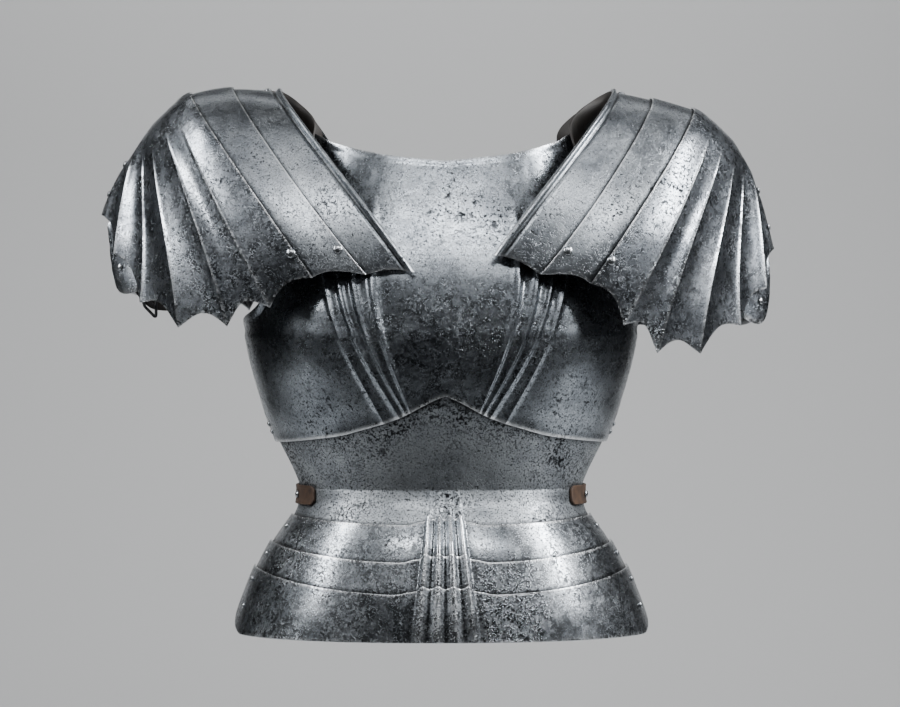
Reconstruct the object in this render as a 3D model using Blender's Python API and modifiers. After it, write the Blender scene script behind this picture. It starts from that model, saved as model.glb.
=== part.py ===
"""Steel cuirass of the Gothic fashion: breast, plackart, back, fauld and two spaulders.

Metres, +Z up, the front looks along -Y, the wearer's right is at -X. Heights below are
measured from the hem; the finished model is let down so that its origin lies between the
shoulders, where the shoulder straps sit on the wearer.
"""
import math

import bmesh
import bpy
from mathutils import Matrix, Vector

# Plates, leather and the air between them
PLATE = 0.0016
PLAY = 0.0009
LAYER = PLATE + PLAY
LEATHER = 0.0025
SEAT = 0.0003
STRAP_SEAT = 0.0007
MERGE = 0.00002
BREAST_LAYER = 1.22

# Heights above the hem
FAULD_HEIGHT = 0.108
WAIST_HEIGHT = 0.134
SEAM_HEIGHT = 0.177
SEAM_PEAK = 0.043
CHEST_HEIGHT = 0.274
ARM_HEIGHT = 0.287
NECK_HEIGHT = 0.429
BACK_NECK_HEIGHT = 0.424
TIP_HEIGHT = 0.458
SEAT_HEIGHT = 0.488

# Widths and depths of the bare torso form, at the hem, waist, chest and shoulder tips
HEM_WIDTH = 0.376
WAIST_WIDTH = 0.262
CHEST_WIDTH = 0.3586
NECK_WIDTH = 0.254
HEM_FRONT = 0.150
WAIST_FRONT = 0.106
CHEST_FRONT = 0.150
NECK_FRONT = 0.092
HEM_BACK = 0.110
WAIST_BACK = 0.080
CHEST_BACK = 0.108
NECK_BACK = 0.070
SQUARENESS = 2.3
SIDE = math.pi / 2
SIDES = ((-1, "right"), (1, "left"))

# Level 0 is the hem, 1 the waist, 2 the chest, 3 the shoulder tips. Girth and depth say, on
# the same scale, between which of the named sizes the form lies at that level.
TORSO_ROWS = (
    # level, girth, depth
    (0.000, 0.000, 0.000),
    (0.180, 0.140, 0.070),
    (0.440, 0.383, 0.250),
    (0.627, 0.617, 0.430),
    (0.806, 0.905, 0.730),
    (0.900, 0.985, 0.910),
    (1.000, 1.000, 1.000),
    (1.114, 1.124, 1.070),
    (1.300, 1.393, 1.250),
    (1.457, 1.586, 1.450),
    (1.571, 1.689, 1.610),
    (1.807, 1.886, 1.890),
    (2.000, 2.000, 2.000),
    (2.130, 2.040, 2.020),
    (2.283, 2.160, 2.100),
    (2.500, 2.426, 2.310),
    (2.717, 2.694, 2.600),
    (2.962, 2.960, 2.950),
    (3.000, 3.000, 3.000),
)

# The lower edge of the breastplate falls from its peak in the middle to its sides
SEAM_ROWS = (
    # share of the side angle, share of the fall
    (0.00, 0.00),
    (0.13, 0.45),
    (0.27, 0.70),
    (0.40, 0.85),
    (0.70, 0.97),
    (1.00, 1.00),
)

# The upper edge: along the neck to the shoulder tip, then down the arm opening to the side
TOP_ROWS = (
    # way along the edge, share of the side angle, share of neck to tip (above 0) or to arm
    (0.00, 0.000, 0.00),
    (0.20, 0.250, 0.24),
    (0.38, 0.530, 0.66),
    (0.46, 0.715, 1.00),
    (0.52, 0.810, 0.79),
    (0.60, 0.740, -0.08),
    (0.70, 0.685, -0.38),
    (0.80, 0.650, -0.68),
    (0.90, 0.720, -0.91),
    (1.00, 1.000, -1.00),
)
ARM_EDGE_START = 0.52

# Lines of the breastplate from its lower edge to its upper edge, with the fan of chest
# flutes: where each line lies at the edge below, at mid height and on the edge above
CHEST_LINES = (
    # share of the side angle below, at mid height, way along the upper edge, relief
    (0.000, 0.000, 0.00, 0.0),
    (0.045, 0.100, 0.10, 0.0),
    (0.078, 0.170, 0.16, 0.0),
    (0.093, 0.208, 0.20, 1.0),
    (0.100, 0.242, 0.23, 0.1),
    (0.107, 0.276, 0.26, 1.0),
    (0.118, 0.303, 0.29, 0.1),
    (0.129, 0.331, 0.32, 1.0),
    (0.155, 0.357, 0.35, 0.1),
    (0.185, 0.385, 0.38, 0.8),
    (0.220, 0.430, 0.42, 0.0),
    (0.300, 0.475, 0.47, 0.0),
    (0.400, 0.520, 0.54, 0.0),
    (0.520, 0.545, 0.64, 0.0),
    (0.640, 0.615, 0.76, 0.0),
    (0.760, 0.755, 0.87, 0.0),
    (0.880, 0.890, 0.95, 0.0),
    (1.000, 1.000, 1.00, 0.0),
)
CHEST_RELIEF = 0.0035
CHEST_RISE = (
    # way up the breastplate, share of the relief
    (0.00, 0.25),
    (0.20, 0.70),
    (0.45, 1.00),
    (0.65, 0.60),
    (0.85, 0.00),
    (1.00, 0.00),
)
BREAST_LEVELS = (0.0, 0.09, 0.19, 0.30, 0.41, 0.52, 0.64, 0.76, 0.87, 0.94, 1.0)
ARM_FLANGE = 0.008
ARM_FLANGE_START = 0.90
ARM_FLANGE_SIDE = 0.3
UNDERLAP = 0.014

# The fluted band down the middle of the fauld: half of it, mirrored
BAND_WIDTH = 0.038
BAND_SPREAD = 0.767
RIB_HEIGHT = 0.0032
RIB_START = 0.142
RIB_FULL = 0.108
BAND_RISE = 0.007
BAND_LINES = (
    # share of half the band, relief
    (0.00, 0.25),
    (0.25, 1.00),
    (0.50, 0.25),
    (0.75, 1.00),
    (1.00, 0.00),
)
FLANK_LINES = (0.05, 0.15, 0.29, 0.44, 0.58, 0.72, 0.86, 1.00)

# Fauld lames, top edge at the side and in front, as shares of the fauld's height
LAMES = (
    # name, side, front, underlap
    ("fauld_lame_1", 1.000, 0.945, 1.0),
    ("fauld_lame_2", 0.765, 0.640, 1.0),
    ("fauld_lame_3", 0.546, 0.380, 0.0),
)
LAME_LEVELS = 3
HEM_CORNER = 0.022
HEM_CORNER_START = 0.74
RIVET_DROP = 0.0105
LAME_RIVET_SIDE = 0.86
HEM_RIVET = (0.84, 0.024)
PLACKART_BOTTOM = 0.094
PLACKART_LEVELS = 4
BACK_BOTTOM = 0.078
BACK_EDGE = 0.95
BACK_MIDDLES = (
    # way along the edge, share of the side angle half way up
    (0.00, 0.00),
    (0.20, 0.19),
    (0.38, 0.36),
    (0.52, 0.49),
    (0.60, 0.52),
    (0.70, 0.57),
    (0.80, 0.66),
    (0.90, 0.79),
    (1.00, 0.95),
)
BACK_COLUMNS = 18
BACK_LEVELS = 5

# Spaulders. Stations run from the neck edge (0) over the edges of the second lame (1) and
# the fan plate (2) and its five ridges (3 to 7) to the middle of the arm's outer side (8).
CREST_RISE = 0.044
CREST_HEIGHT = TIP_HEIGHT + CREST_RISE
SHOULDER_REACH = 0.308
SHOULDER_DEPTH = 0.150
SHOULDER_DROP = 0.221
CREST_LEAN = 0.030
CREST_FULLNESS = 0.60
BACK_SHARE = 0.84
BACK_TURN = 0.018
BACK_TURN_DEPTH = 0.080
SPAULDER_FORM = (
    # station, edge forward, lean of the line, rise of the line
    (0, 1.000, 0.140, 0.281),
    (1, 0.987, 0.146, 0.222),
    (2, 0.967, 0.107, 0.208),
    (3, 0.880, 0.133, 0.348),
    (4, 0.787, 0.075, 0.421),
    (5, 0.627, 0.026, 0.339),
    (6, 0.367, -0.023, 0.285),
    (7, 0.187, -0.010, 0.200),
    (8, 0.000, -0.014, 0.081),
)
SPAULDER_LINES = {
    "right": (
        # station, crest out, crest drop, edge out, edge drop
        (0, 0.477, 0.009, 0.088, 0.783),
        (1, 0.623, 0.000, 0.227, 0.792),
        (2, 0.747, 0.032, 0.380, 0.801),
        (3, 0.789, 0.077, 0.500, 0.919),
        (4, 0.821, 0.118, 0.623, 0.995),
        (5, 0.851, 0.158, 0.763, 1.000),
        (6, 0.877, 0.204, 0.880, 0.900),
        (7, 0.899, 0.249, 0.961, 0.697),
        (8, 0.919, 0.290, 1.000, 0.534),
    ),
    "left": (
        (0, 0.510, 0.005, 0.138, 0.713),
        (1, 0.630, 0.041, 0.273, 0.790),
        (2, 0.752, 0.092, 0.416, 0.825),
        (3, 0.799, 0.136, 0.511, 0.989),
        (4, 0.836, 0.181, 0.610, 1.102),
        (5, 0.867, 0.223, 0.739, 1.106),
        (6, 0.893, 0.277, 0.872, 0.995),
        (7, 0.918, 0.336, 0.956, 0.839),
        (8, 0.932, 0.380, 0.987, 0.674),
    ),
}
SCALLOPS = (0.020, 0.020, 0.035, 0.055, 0.055, 0.065, 0.070, 0.080)
FLUTE_DEPTH = 0.0045
FIRST_RIDGE = 3
LAST_STATION = 8
FLUTE_START = 0.20
PLATE_UNDERLAP = 0.36
FAN_PLAY = 0.0015
BEAD_RISE = 0.003
BEAD_STATION = 0.07
SPAULDER_FALLS = (0.0, 0.08, 0.20, 0.35, 0.50, 0.68, 0.85, 1.0)
RIVET_STATIONS = (0.14, 0.08)
RIVET_FALL = 0.87

# Arm lame, under the end of the fan plate
ARM_LAME_START = 6.35
ARM_LAME_TOP = 0.62
ARM_LAME_ENDS = ((6.35, 1.02), (7.0, 1.26), (8.0, 1.45))
ARM_LAME_FLARE = 0.009
ARM_LAME_SINK = 0.0036

# Straps. A waist strap is told by its front end, its back end and the places between.
WAIST_STRAP_WIDTH = 0.019
WAIST_STRAP_HEIGHT = 0.1275
WAIST_STRAP_LINES = (
    # share of the side angle, share of the width
    (0.660, 0.50),
    (0.675, 0.85),
    (0.700, 1.00),
    (0.780, 1.00),
    (0.860, 1.00),
    (0.940, 1.00),
    (1.020, 1.00),
    (1.100, 1.00),
    (1.180, 1.00),
    (1.260, 1.00),
    (1.340, 1.00),
)
WAIST_RIVET = 0.865
SHOULDER_STRAP_WIDTH = 0.024
SHOULDER_STRAP_STATION = 0.30
SHOULDER_STRAP_SIDE = 0.72
SHOULDER_STRAP_LAP = 0.026
SHOULDER_STRAP_REACH = 0.020
ARM_STRAP_WIDTH = 0.015
ARM_STRAP_STATION = 6.95
ARM_STRAP_FALL = 0.72
ARM_STRAP_HANG = {"right": 0.031, "left": 0.008}
ARM_STRAP_DEPTH = 0.040
ARM_STRAP_SPAN = 0.066
ARM_STRAP_ROUTE = (
    # share of the span towards the body, share of the depth forward, share of the hang
    (0.15, 0.85, 0.45),
    (0.38, 0.98, 0.95),
    (0.66, 0.86, 1.05),
    (0.90, 0.50, 1.08),
    (1.00, 0.00, 1.10),
)
BUCKLE_HEIGHT = 0.021
BUCKLE_LENGTH = 0.017
BUCKLE_WIRE = 0.0014
BUCKLE_SHARE = 1.05

# Rivets
RIVET_SIDES = 7
SPAULDER_HEAD = 0.0044
FAULD_HEAD = 0.0031
PLAIN_HEAD = 0.0034
SMALL_HEAD = 0.0025
HEAD_RISE = 0.58
SIDE_RIVETS = (0.193, 0.186)
SIDE_RIVET_SIDE = 0.92
SHANK_RADIUS = 0.0018
SHANK_PLAY = 0.0005
PEEN_RADIUS = 0.0032
PEEN_PLAY = 0.0030
PEEN_THICKNESS = 0.0010

STEEL = (0.23, 0.25, 0.28, 1.0)
RIVET_STEEL = (0.42, 0.44, 0.46, 1.0)
BROWN_LEATHER = (0.10, 0.045, 0.02, 1.0)
BLACK_IRON = (0.03, 0.03, 0.032, 1.0)


def clear_scene():
    for item in list(bpy.data.objects):
        bpy.data.objects.remove(item, do_unlink=True)


def make_collection(name):
    collection = bpy.data.collections.new(name)
    bpy.context.scene.collection.children.link(collection)
    return collection


def make_material(name, colour, metallic, roughness):
    material = bpy.data.materials.new(name)
    material.use_nodes = True
    shader = material.node_tree.nodes["Principled BSDF"]
    shader.inputs["Base Color"].default_value = colour
    shader.inputs["Metallic"].default_value = metallic
    shader.inputs["Roughness"].default_value = roughness
    return material


def smooth(share):
    share = min(max(share, 0.0), 1.0)
    return share * share * (3.0 - 2.0 * share)


def table_at(rows, place):
    """Values between the rows of a table whose first column is the place, as a smooth curve."""
    place = min(max(place, rows[0][0]), rows[-1][0])
    upper = next(index for index in range(1, len(rows)) if place <= rows[index][0])
    low, high = rows[upper - 1], rows[upper]
    before = rows[max(upper - 2, 0)]
    after = rows[min(upper + 1, len(rows) - 1)]
    span = high[0] - low[0]
    share = (place - low[0]) / span
    values = []
    for column in range(1, len(low)):
        leave = span * (high[column] - before[column]) / (high[0] - before[0])
        arrive = span * (after[column] - low[column]) / (after[0] - low[0])
        values.append(
            low[column] * (1 + 2 * share) * (1 - share) ** 2
            + leave * share * (1 - share) ** 2
            + high[column] * share ** 2 * (3 - 2 * share)
            + arrive * share ** 2 * (share - 1)
        )
    return values


def between(sizes, scale):
    """The size at a place on the scale 0, 1, 2, 3 of hem, waist, chest and shoulder tips."""
    scale = min(max(scale, 0.0), len(sizes) - 1.0)
    low = min(int(scale), len(sizes) - 2)
    return sizes[low] + (sizes[low + 1] - sizes[low]) * (scale - low)


def torso_level(height):
    levels = (0.0, WAIST_HEIGHT, CHEST_HEIGHT, TIP_HEIGHT)
    for index in range(3):
        if height <= levels[index + 1] or index == 2:
            return index + (height - levels[index]) / (levels[index + 1] - levels[index])


def torso_form(angle, height):
    """A point of the bare torso form. Angle 0 is the front, pi / 2 the left side."""
    girth, depth = table_at(TORSO_ROWS, torso_level(height))
    half = between((HEM_WIDTH, WAIST_WIDTH, CHEST_WIDTH, NECK_WIDTH), girth) / 2
    front = between((HEM_FRONT, WAIST_FRONT, CHEST_FRONT, NECK_FRONT), depth)
    back = between((HEM_BACK, WAIST_BACK, CHEST_BACK, NECK_BACK), depth)
    sine, cosine = math.sin(angle), math.cos(angle)
    power = 2 / SQUARENESS
    across = half * math.copysign(abs(sine) ** power, sine)
    deep = (front if cosine > 0 else back) * math.copysign(abs(cosine) ** power, cosine)
    return Vector((across, -deep, height))


def torso_normal(angle, height):
    step = 0.002
    along = torso_form(angle + step, height) - torso_form(angle - step, height)
    up = torso_form(angle, height + step) - torso_form(angle, height - step)
    return along.cross(up).normalized()


def on_torso(angle, height, lift):
    return torso_form(angle, height) + torso_normal(angle, height) * lift


def angle_at(across, height):
    """The angle at which the torso form is this far from the middle."""
    half = torso_form(SIDE, height).x
    return math.asin(min(across / half, 1.0) ** (SQUARENESS / 2))


def seam_height(share):
    return SEAM_HEIGHT + SEAM_PEAK * (1 - table_at(SEAM_ROWS, share)[0])


def mirrored(lines):
    """Half a table of lines, made whole: each row with its side, -1 or 1, from right to left."""
    return [(-1, row) for row in reversed(lines[1:])] + [(1, row) for row in lines]


def top_edge(way, neck_height):
    share, rise = table_at(TOP_ROWS, way)
    if rise >= 0:
        return share, neck_height + rise * (TIP_HEIGHT - neck_height)
    return share, neck_height + rise * (neck_height - ARM_HEIGHT)


def breast_point(side, line, way):
    """A point of the breastplate's outer face, on one of its lines."""
    below, middle, edge, relief = line
    edge_share, edge_height = top_edge(edge, NECK_HEIGHT)
    bottom = seam_height(below)
    share = below * (1 - way) * (1 - 2 * way) + 4 * middle * way * (1 - way)
    share += edge_share * way * (2 * way - 1)
    height = bottom + (edge_height - bottom) * way
    lift = BREAST_LAYER * LAYER + CHEST_RELIEF * relief * table_at(CHEST_RISE, way)[0]
    if edge > ARM_EDGE_START:
        along = (edge - ARM_EDGE_START) / (1 - ARM_EDGE_START)
        opened = smooth(2 * along) * (1 - (1 - ARM_FLANGE_SIDE) * smooth(2 * along - 1))
        lift += ARM_FLANGE * opened * smooth((way - ARM_FLANGE_START) / (1 - ARM_FLANGE_START))
    return on_torso(side * share * SIDE, height, lift)


def front_lines():
    """Lines down the plackart and the lames: the fluted band, then the flanks."""
    return [("band",) + row for row in BAND_LINES] + [("flank", share, 0.0) for share in FLANK_LINES]


def front_angle(line, height):
    kind, share, _ = line
    spread = 1 + BAND_SPREAD * (1 - height / FAULD_HEIGHT)
    edge = angle_at(BAND_WIDTH / 2 * spread, height)
    if kind == "band":
        return angle_at(BAND_WIDTH / 2 * spread * share, height)
    return edge + (SIDE - edge) * share


def front_point(side, line, height, layer):
    """A point of the outer face of the plackart or a lame, with the ribs of the band."""
    ribs = smooth((RIB_START - height) / (RIB_START - RIB_FULL))
    lift = layer * LAYER + RIB_HEIGHT * line[2] * ribs
    return on_torso(side * front_angle(line, height), height, lift)


def lame_top(index, line):
    """Height of a lame's upper edge: lower in front, raised over the fluted band."""
    _, at_side, in_front, _ = LAMES[index]
    kind, share, relief = line
    turn = 0.0 if kind == "band" else share
    height = FAULD_HEIGHT * (in_front + (at_side - in_front) * smooth(turn))
    if kind == "band":
        height += BAND_RISE * (0.75 + 0.25 * relief) * (1.0 if share < 1 else 0.6)
    return height


def lame_bottom(index, line):
    if index + 1 < len(LAMES):
        return lame_top(index + 1, line) - UNDERLAP * LAMES[index][3]
    kind, share, _ = line
    turn = 0.0 if kind == "band" else share
    return HEM_CORNER * max(0.0, (turn - HEM_CORNER_START) / (1 - HEM_CORNER_START)) ** 2


def waist_levels(bottom, top, count):
    """Heights up a plate, with one at each edge and in the middle of the waist straps."""
    half = WAIST_STRAP_WIDTH / 2
    levels = [bottom, bottom + (WAIST_STRAP_HEIGHT - half - bottom) / 2]
    levels += [WAIST_STRAP_HEIGHT - half, WAIST_STRAP_HEIGHT]
    return levels + steps(WAIST_STRAP_HEIGHT + half, top, count)


def back_column(column):
    """Points up the backplate's outer face: column runs from the left side to the right."""
    turn = 1 - 2 * column
    edge_share, edge_height = top_edge(abs(turn), BACK_NECK_HEIGHT)
    points = []
    for height in waist_levels(BACK_BOTTOM, edge_height, BACK_LEVELS):
        way = max(0.0, (height - WAIST_HEIGHT) / (edge_height - WAIST_HEIGHT))
        share = abs(turn) * BACK_EDGE * (1 - way) * (1 - 2 * way)
        share += 4 * table_at(BACK_MIDDLES, abs(turn))[0] * way * (1 - way)
        share += min(edge_share, BACK_EDGE) * way * (2 * way - 1)
        points.append(on_torso(math.pi - math.copysign(share * SIDE, turn), height, -LAYER))
    return points


def spaulder_form(name, station, fall):
    """A point of a spaulder's bare form, its front half, with the arm at +X."""
    forward, lean, rise = table_at(SPAULDER_FORM, station)
    crest_out, crest_drop, edge_out, edge_drop = table_at(SPAULDER_LINES[name], station)
    crest = Vector((crest_out * SHOULDER_REACH, 0, CREST_HEIGHT - crest_drop * SHOULDER_DROP))
    edge = Vector((edge_out * SHOULDER_REACH, -forward * SHOULDER_DEPTH,
                   CREST_HEIGHT - edge_drop * SHOULDER_DROP))
    leave = crest + Vector((CREST_LEAN * forward * SHOULDER_REACH, CREST_FULLNESS * edge.y, 0))
    arrive = edge + Vector((lean * SHOULDER_REACH, 0.02 * edge.y, rise * SHOULDER_DROP))
    rest = 1 - fall
    return (crest * rest ** 3 + leave * 3 * rest ** 2 * fall
            + arrive * 3 * rest * fall ** 2 + edge * fall ** 3)


def scallop(station):
    """How far the lower edge is cut back between two points of it."""
    panel = min(int(station), len(SCALLOPS) - 1)
    return SCALLOPS[panel] * math.sin(math.pi * (station - panel))


def hollow(station, fall):
    """Depth of the hollow between two ridges of the fan plate."""
    if station <= FIRST_RIDGE:
        return 0.0
    panel = station - int(min(station, LAST_STATION - 0.001))
    opened = smooth((fall - FLUTE_START) / (1 - FLUTE_START) * 1.3)
    return FLUTE_DEPTH * opened * math.sin(math.pi * panel)


def on_spaulder(name, station, fall, front, lift):
    """A point on a spaulder: front is 1 or -1, lift is measured out from the bare form."""
    step = 0.004
    point = spaulder_form(name, station, fall)
    along = (spaulder_form(name, min(station + step, LAST_STATION), fall)
             - spaulder_form(name, max(station - step, 0), fall))
    down = spaulder_form(name, station, fall + step) - spaulder_form(name, station, fall - step)
    normal = down.cross(along)
    if fall == 0 or station >= LAST_STATION:
        normal.y = 0
    point = point + normal.normalized() * lift
    if front < 0:
        turned = BACK_TURN * smooth(-point.y / BACK_TURN_DEPTH)
        point = Vector((point.x - turned, -BACK_SHARE * point.y, point.z))
    side = -1 if name == "right" else 1
    return Vector((side * point.x, point.y, point.z))


def spaulder_normal(name, station, fall, front):
    return (on_spaulder(name, station, fall, front, 0.001)
            - on_spaulder(name, station, fall, front, 0.0)).normalized()


def finish_mesh(name, work, material, collection, sharp=30):
    mesh = bpy.data.meshes.new(name)
    bmesh.ops.translate(work, verts=work.verts, vec=(0, 0, -SEAT_HEIGHT))
    work.to_mesh(mesh)
    work.free()
    mesh.shade_smooth()
    mesh.set_sharp_from_angle(angle=math.radians(sharp))
    mesh.materials.append(material)
    item = bpy.data.objects.new(name, mesh)
    collection.objects.link(item)
    return item


def shell(name, grids, material, collection, thickness=PLATE):
    """A plate or a strap: points of its outer face, columns from left to right as it is
    looked at and each from the bottom up, thickened towards the inside."""
    work = bmesh.new()
    for grid in grids:
        columns = [[work.verts.new(point) for point in column] for column in grid]
        for left, right in zip(columns, columns[1:]):
            for row in range(len(left) - 1):
                work.faces.new((left[row], right[row], right[row + 1], left[row + 1]))
    bmesh.ops.remove_doubles(work, verts=work.verts, dist=MERGE)
    item = finish_mesh(name, work, material, collection)
    solidify = item.modifiers.new("thickness", "SOLIDIFY")
    solidify.thickness = thickness
    solidify.offset = -1
    return item


def spaulder_grids(name, stations, falls, place):
    """Both halves of a spaulder plate, front and back, which meet along the crest."""
    grids = []
    for front in (1, -1):
        grid = [[place(station, fall, front) for fall in reversed(falls)] for station in stations]
        outward_left = (name == "right") == (front == 1)
        grids.append(grid[::-1] if outward_left else grid)
    return grids


def steps(low, high, count):
    return [low + (high - low) * index / count for index in range(count + 1)]


def drill(item, holes, cutters):
    """Clearance holes for the rivet shanks that pass through a plate."""
    work = bmesh.new()
    for point, normal in holes:
        turn = normal.to_track_quat("Z", "Y").to_matrix().to_4x4()
        place = Matrix.Translation(point - normal * LAYER) @ turn
        radius = SHANK_RADIUS + SHANK_PLAY
        bmesh.ops.create_cone(work, cap_ends=True, segments=RIVET_SIDES, radius1=radius,
                              radius2=radius, depth=8 * LAYER, matrix=place)
    cutter = finish_mesh(item.name + "_holes", work, item.data.materials[0], cutters)
    cutter.hide_render = True
    cutter.display_type = "WIRE"
    cut = item.modifiers.new("rivet_holes", "BOOLEAN")
    cut.operation = "DIFFERENCE"
    cut.solver = "EXACT"
    cut.object = cutter


def rivet_profile(name, head, pivot, material):
    """Half section of a rivet, from the top of its domed head down its outer side."""
    rise = head * HEAD_RISE
    points = [(0.0, SEAT + rise)]
    for turn in (45, 90):
        angle = math.radians(turn)
        points.append((head * math.sin(angle), SEAT + rise * math.cos(angle)))
    if pivot:
        peen = -(LAYER + PLATE + PEEN_PLAY)
        points += [(SHANK_RADIUS, SEAT), (SHANK_RADIUS, peen), (PEEN_RADIUS, peen),
                   (PEEN_RADIUS, peen - PEEN_THICKNESS), (0.0, peen - PEEN_THICKNESS)]
    else:
        points.append((0.0, SEAT))
    work = bmesh.new()
    verts = [work.verts.new((out, 0, up)) for out, up in points]
    for upper, lower in zip(verts, verts[1:]):
        work.edges.new((upper, lower))
    mesh = bpy.data.meshes.new(name)
    work.to_mesh(mesh)
    work.free()
    mesh.materials.append(material)
    return mesh


def add_rivet(name, profile, place, collection):
    point, normal = place
    item = bpy.data.objects.new(name, profile)
    collection.objects.link(item)
    turn = normal.to_track_quat("Z", "Y").to_matrix().to_4x4()
    item.matrix_world = Matrix.Translation(point - Vector((0, 0, SEAT_HEIGHT))) @ turn
    screw = item.modifiers.new("turned", "SCREW")
    screw.axis = "Z"
    screw.steps = screw.render_steps = RIVET_SIDES
    screw.use_merge_vertices = True
    screw.merge_threshold = MERGE
    return item


def torso_place(angle, height, lift):
    return on_torso(angle, height, lift), torso_normal(angle, height)


def spaulder_place(name, station, fall, front, lift):
    return (on_spaulder(name, station, fall, front, lift),
            spaulder_normal(name, station, fall, front))


def strap(name, edges, leather, parts):
    """A leather band, told by lines along its outer face, the lower edge first."""
    return shell(name, [list(zip(*edges))], leather, parts, LEATHER)


def make_torso(steel, parts, cutters):
    breast = [[breast_point(side, line, way) for way in BREAST_LEVELS]
              for side, line in mirrored(CHEST_LINES)]
    shell("breastplate", [breast], steel, parts)

    lines = mirrored(front_lines())
    plackart = []
    for side, line in lines:
        share = front_angle(line, SEAM_HEIGHT) / SIDE
        levels = waist_levels(PLACKART_BOTTOM, seam_height(share) + UNDERLAP, PLACKART_LEVELS)
        plackart.append([front_point(side, line, height, 0) for height in levels])
    plates = [shell("plackart", [plackart], steel, parts)]

    for index, (name, *_) in enumerate(LAMES):
        grid = []
        for side, line in lines:
            levels = steps(lame_bottom(index, line), lame_top(index, line), LAME_LEVELS)
            grid.append([front_point(side, line, height, index + 1) for height in levels])
        plates.append(shell(name, [grid], steel, parts))

    back = [back_column(column) for column in steps(0, 1, BACK_COLUMNS)]
    shell("backplate", [back], steel, parts)
    return plates


def lame_rivet(index, side):
    height = lame_top(index, ("flank", LAME_RIVET_SIDE, 0.0)) - RIVET_DROP
    return torso_place(side * LAME_RIVET_SIDE * SIDE, height, (index + 1) * LAYER)


def make_fauld_rivets(plates, profiles, parts, cutters):
    for index, (name, *_) in enumerate(LAMES):
        for side, word in SIDES:
            place = lame_rivet(index, side)
            add_rivet(f"{word}_rivet_{name}", profiles["fauld"], place, parts)
    for index, plate in enumerate(plates):
        holes = []
        for pivot in (index - 1, index):
            if 0 <= pivot < len(LAMES):
                holes += [lame_rivet(pivot, side) for side in (-1, 1)]
        drill(plate, holes, cutters)
    for side, word in SIDES:
        place = torso_place(side * HEM_RIVET[0] * SIDE, HEM_RIVET[1], len(LAMES) * LAYER)
        add_rivet(f"{word}_rivet_hem", profiles["hem"], place, parts)
        for height, level in zip(SIDE_RIVETS, ("upper", "lower")):
            place = torso_place(side * SIDE_RIVET_SIDE * SIDE, height, BREAST_LAYER * LAYER)
            add_rivet(f"{word}_{level}_rivet_breast", profiles["small"], place, parts)


def spaulder_rivet(name, joint, front):
    """Pivot of the second lame (1) or the fan plate (2), at the front or at the back."""
    station = joint + RIVET_STATIONS[joint - 1]
    lift = joint * LAYER + (fan_lift(RIVET_FALL) if joint == 2 else 0)
    return spaulder_place(name, station, RIVET_FALL, front, lift)


def fan_lift(fall):
    """The room that the fan plate needs near its pivots to turn over the second lame."""
    return FAN_PLAY * smooth(fall / 0.6)


def neck_lift(station):
    return BEAD_RISE * smooth((BEAD_STATION * 2 - station) / BEAD_STATION)


def arm_lame_point(name, station, fall, front, lift):
    """A point of the arm lame, which goes on under the end of the fan plate and flares."""
    end = table_at(ARM_LAME_ENDS, station)[0]
    reach = ARM_LAME_TOP + (end - ARM_LAME_TOP) * fall
    flare = ARM_LAME_FLARE * smooth((fall - 0.35) / 0.65) * smooth((station - 6) / 1.5)
    return on_spaulder(name, station, reach, front, flare - ARM_LAME_SINK + lift)


def make_spaulder(name, steel, parts, cutters):
    falls = SPAULDER_FALLS

    def neck_point(station, fall, front):
        reach = 1 - scallop(station)
        return on_spaulder(name, station, fall * reach, front, neck_lift(station))

    stations = [0, BEAD_STATION, 2 * BEAD_STATION, 0.5, 1, 1 + PLATE_UNDERLAP]
    neck = shell(f"{name}_neck_plate", spaulder_grids(name, stations, falls, neck_point), steel, parts)

    def second_point(station, fall, front):
        reach = 1 - scallop(station)
        return on_spaulder(name, station, fall * reach, front, LAYER)

    stations = [1, 1.35, 1.7, 2, 2 + PLATE_UNDERLAP]
    second = shell(f"{name}_second_lame", spaulder_grids(name, stations, falls, second_point),
                   steel, parts)

    def fan_point(station, fall, front):
        reach = 1 - scallop(station)
        lift = 2 * LAYER + fan_lift(fall * reach) - hollow(station, fall)
        return on_spaulder(name, station, fall * reach, front, lift)

    stations = [2, 2.3, 2.65] + steps(FIRST_RIDGE, LAST_STATION, 3 * (LAST_STATION - FIRST_RIDGE))
    fan = shell(f"{name}_fan_plate", spaulder_grids(name, stations, falls, fan_point), steel, parts)

    def arm_point(station, fall, front):
        return arm_lame_point(name, station, fall, front, 0)

    stations = steps(ARM_LAME_START, LAST_STATION, 5)
    shell(f"{name}_arm_lame", spaulder_grids(name, stations, steps(0, 1, 4), arm_point), steel, parts)

    for plate, joints in ((neck, (1,)), (second, (1, 2)), (fan, (2,))):
        holes = [spaulder_rivet(name, joint, front) for joint in joints for front in (1, -1)]
        drill(plate, holes, cutters)


def make_spaulder_rivets(name, profiles, parts):
    for joint, word in ((1, "second_lame"), (2, "fan_plate")):
        for front, end in ((1, "front"), (-1, "back")):
            place = spaulder_rivet(name, joint, front)
            add_rivet(f"{name}_{end}_rivet_{word}", profiles["spaulder"], place, parts)
    place = spaulder_place(name, SHOULDER_STRAP_STATION, 0, 1, 0)
    add_rivet(f"{name}_rivet_shoulder_top", profiles["plain"], place, parts)
    for fall, word in ((0.30, "upper"), (0.72, "lower")):
        place = spaulder_place(name, LAST_STATION, fall, 1, 2 * LAYER + fan_lift(fall))
        add_rivet(f"{name}_{word}_rivet_arm", profiles["plain"], place, parts)


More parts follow.
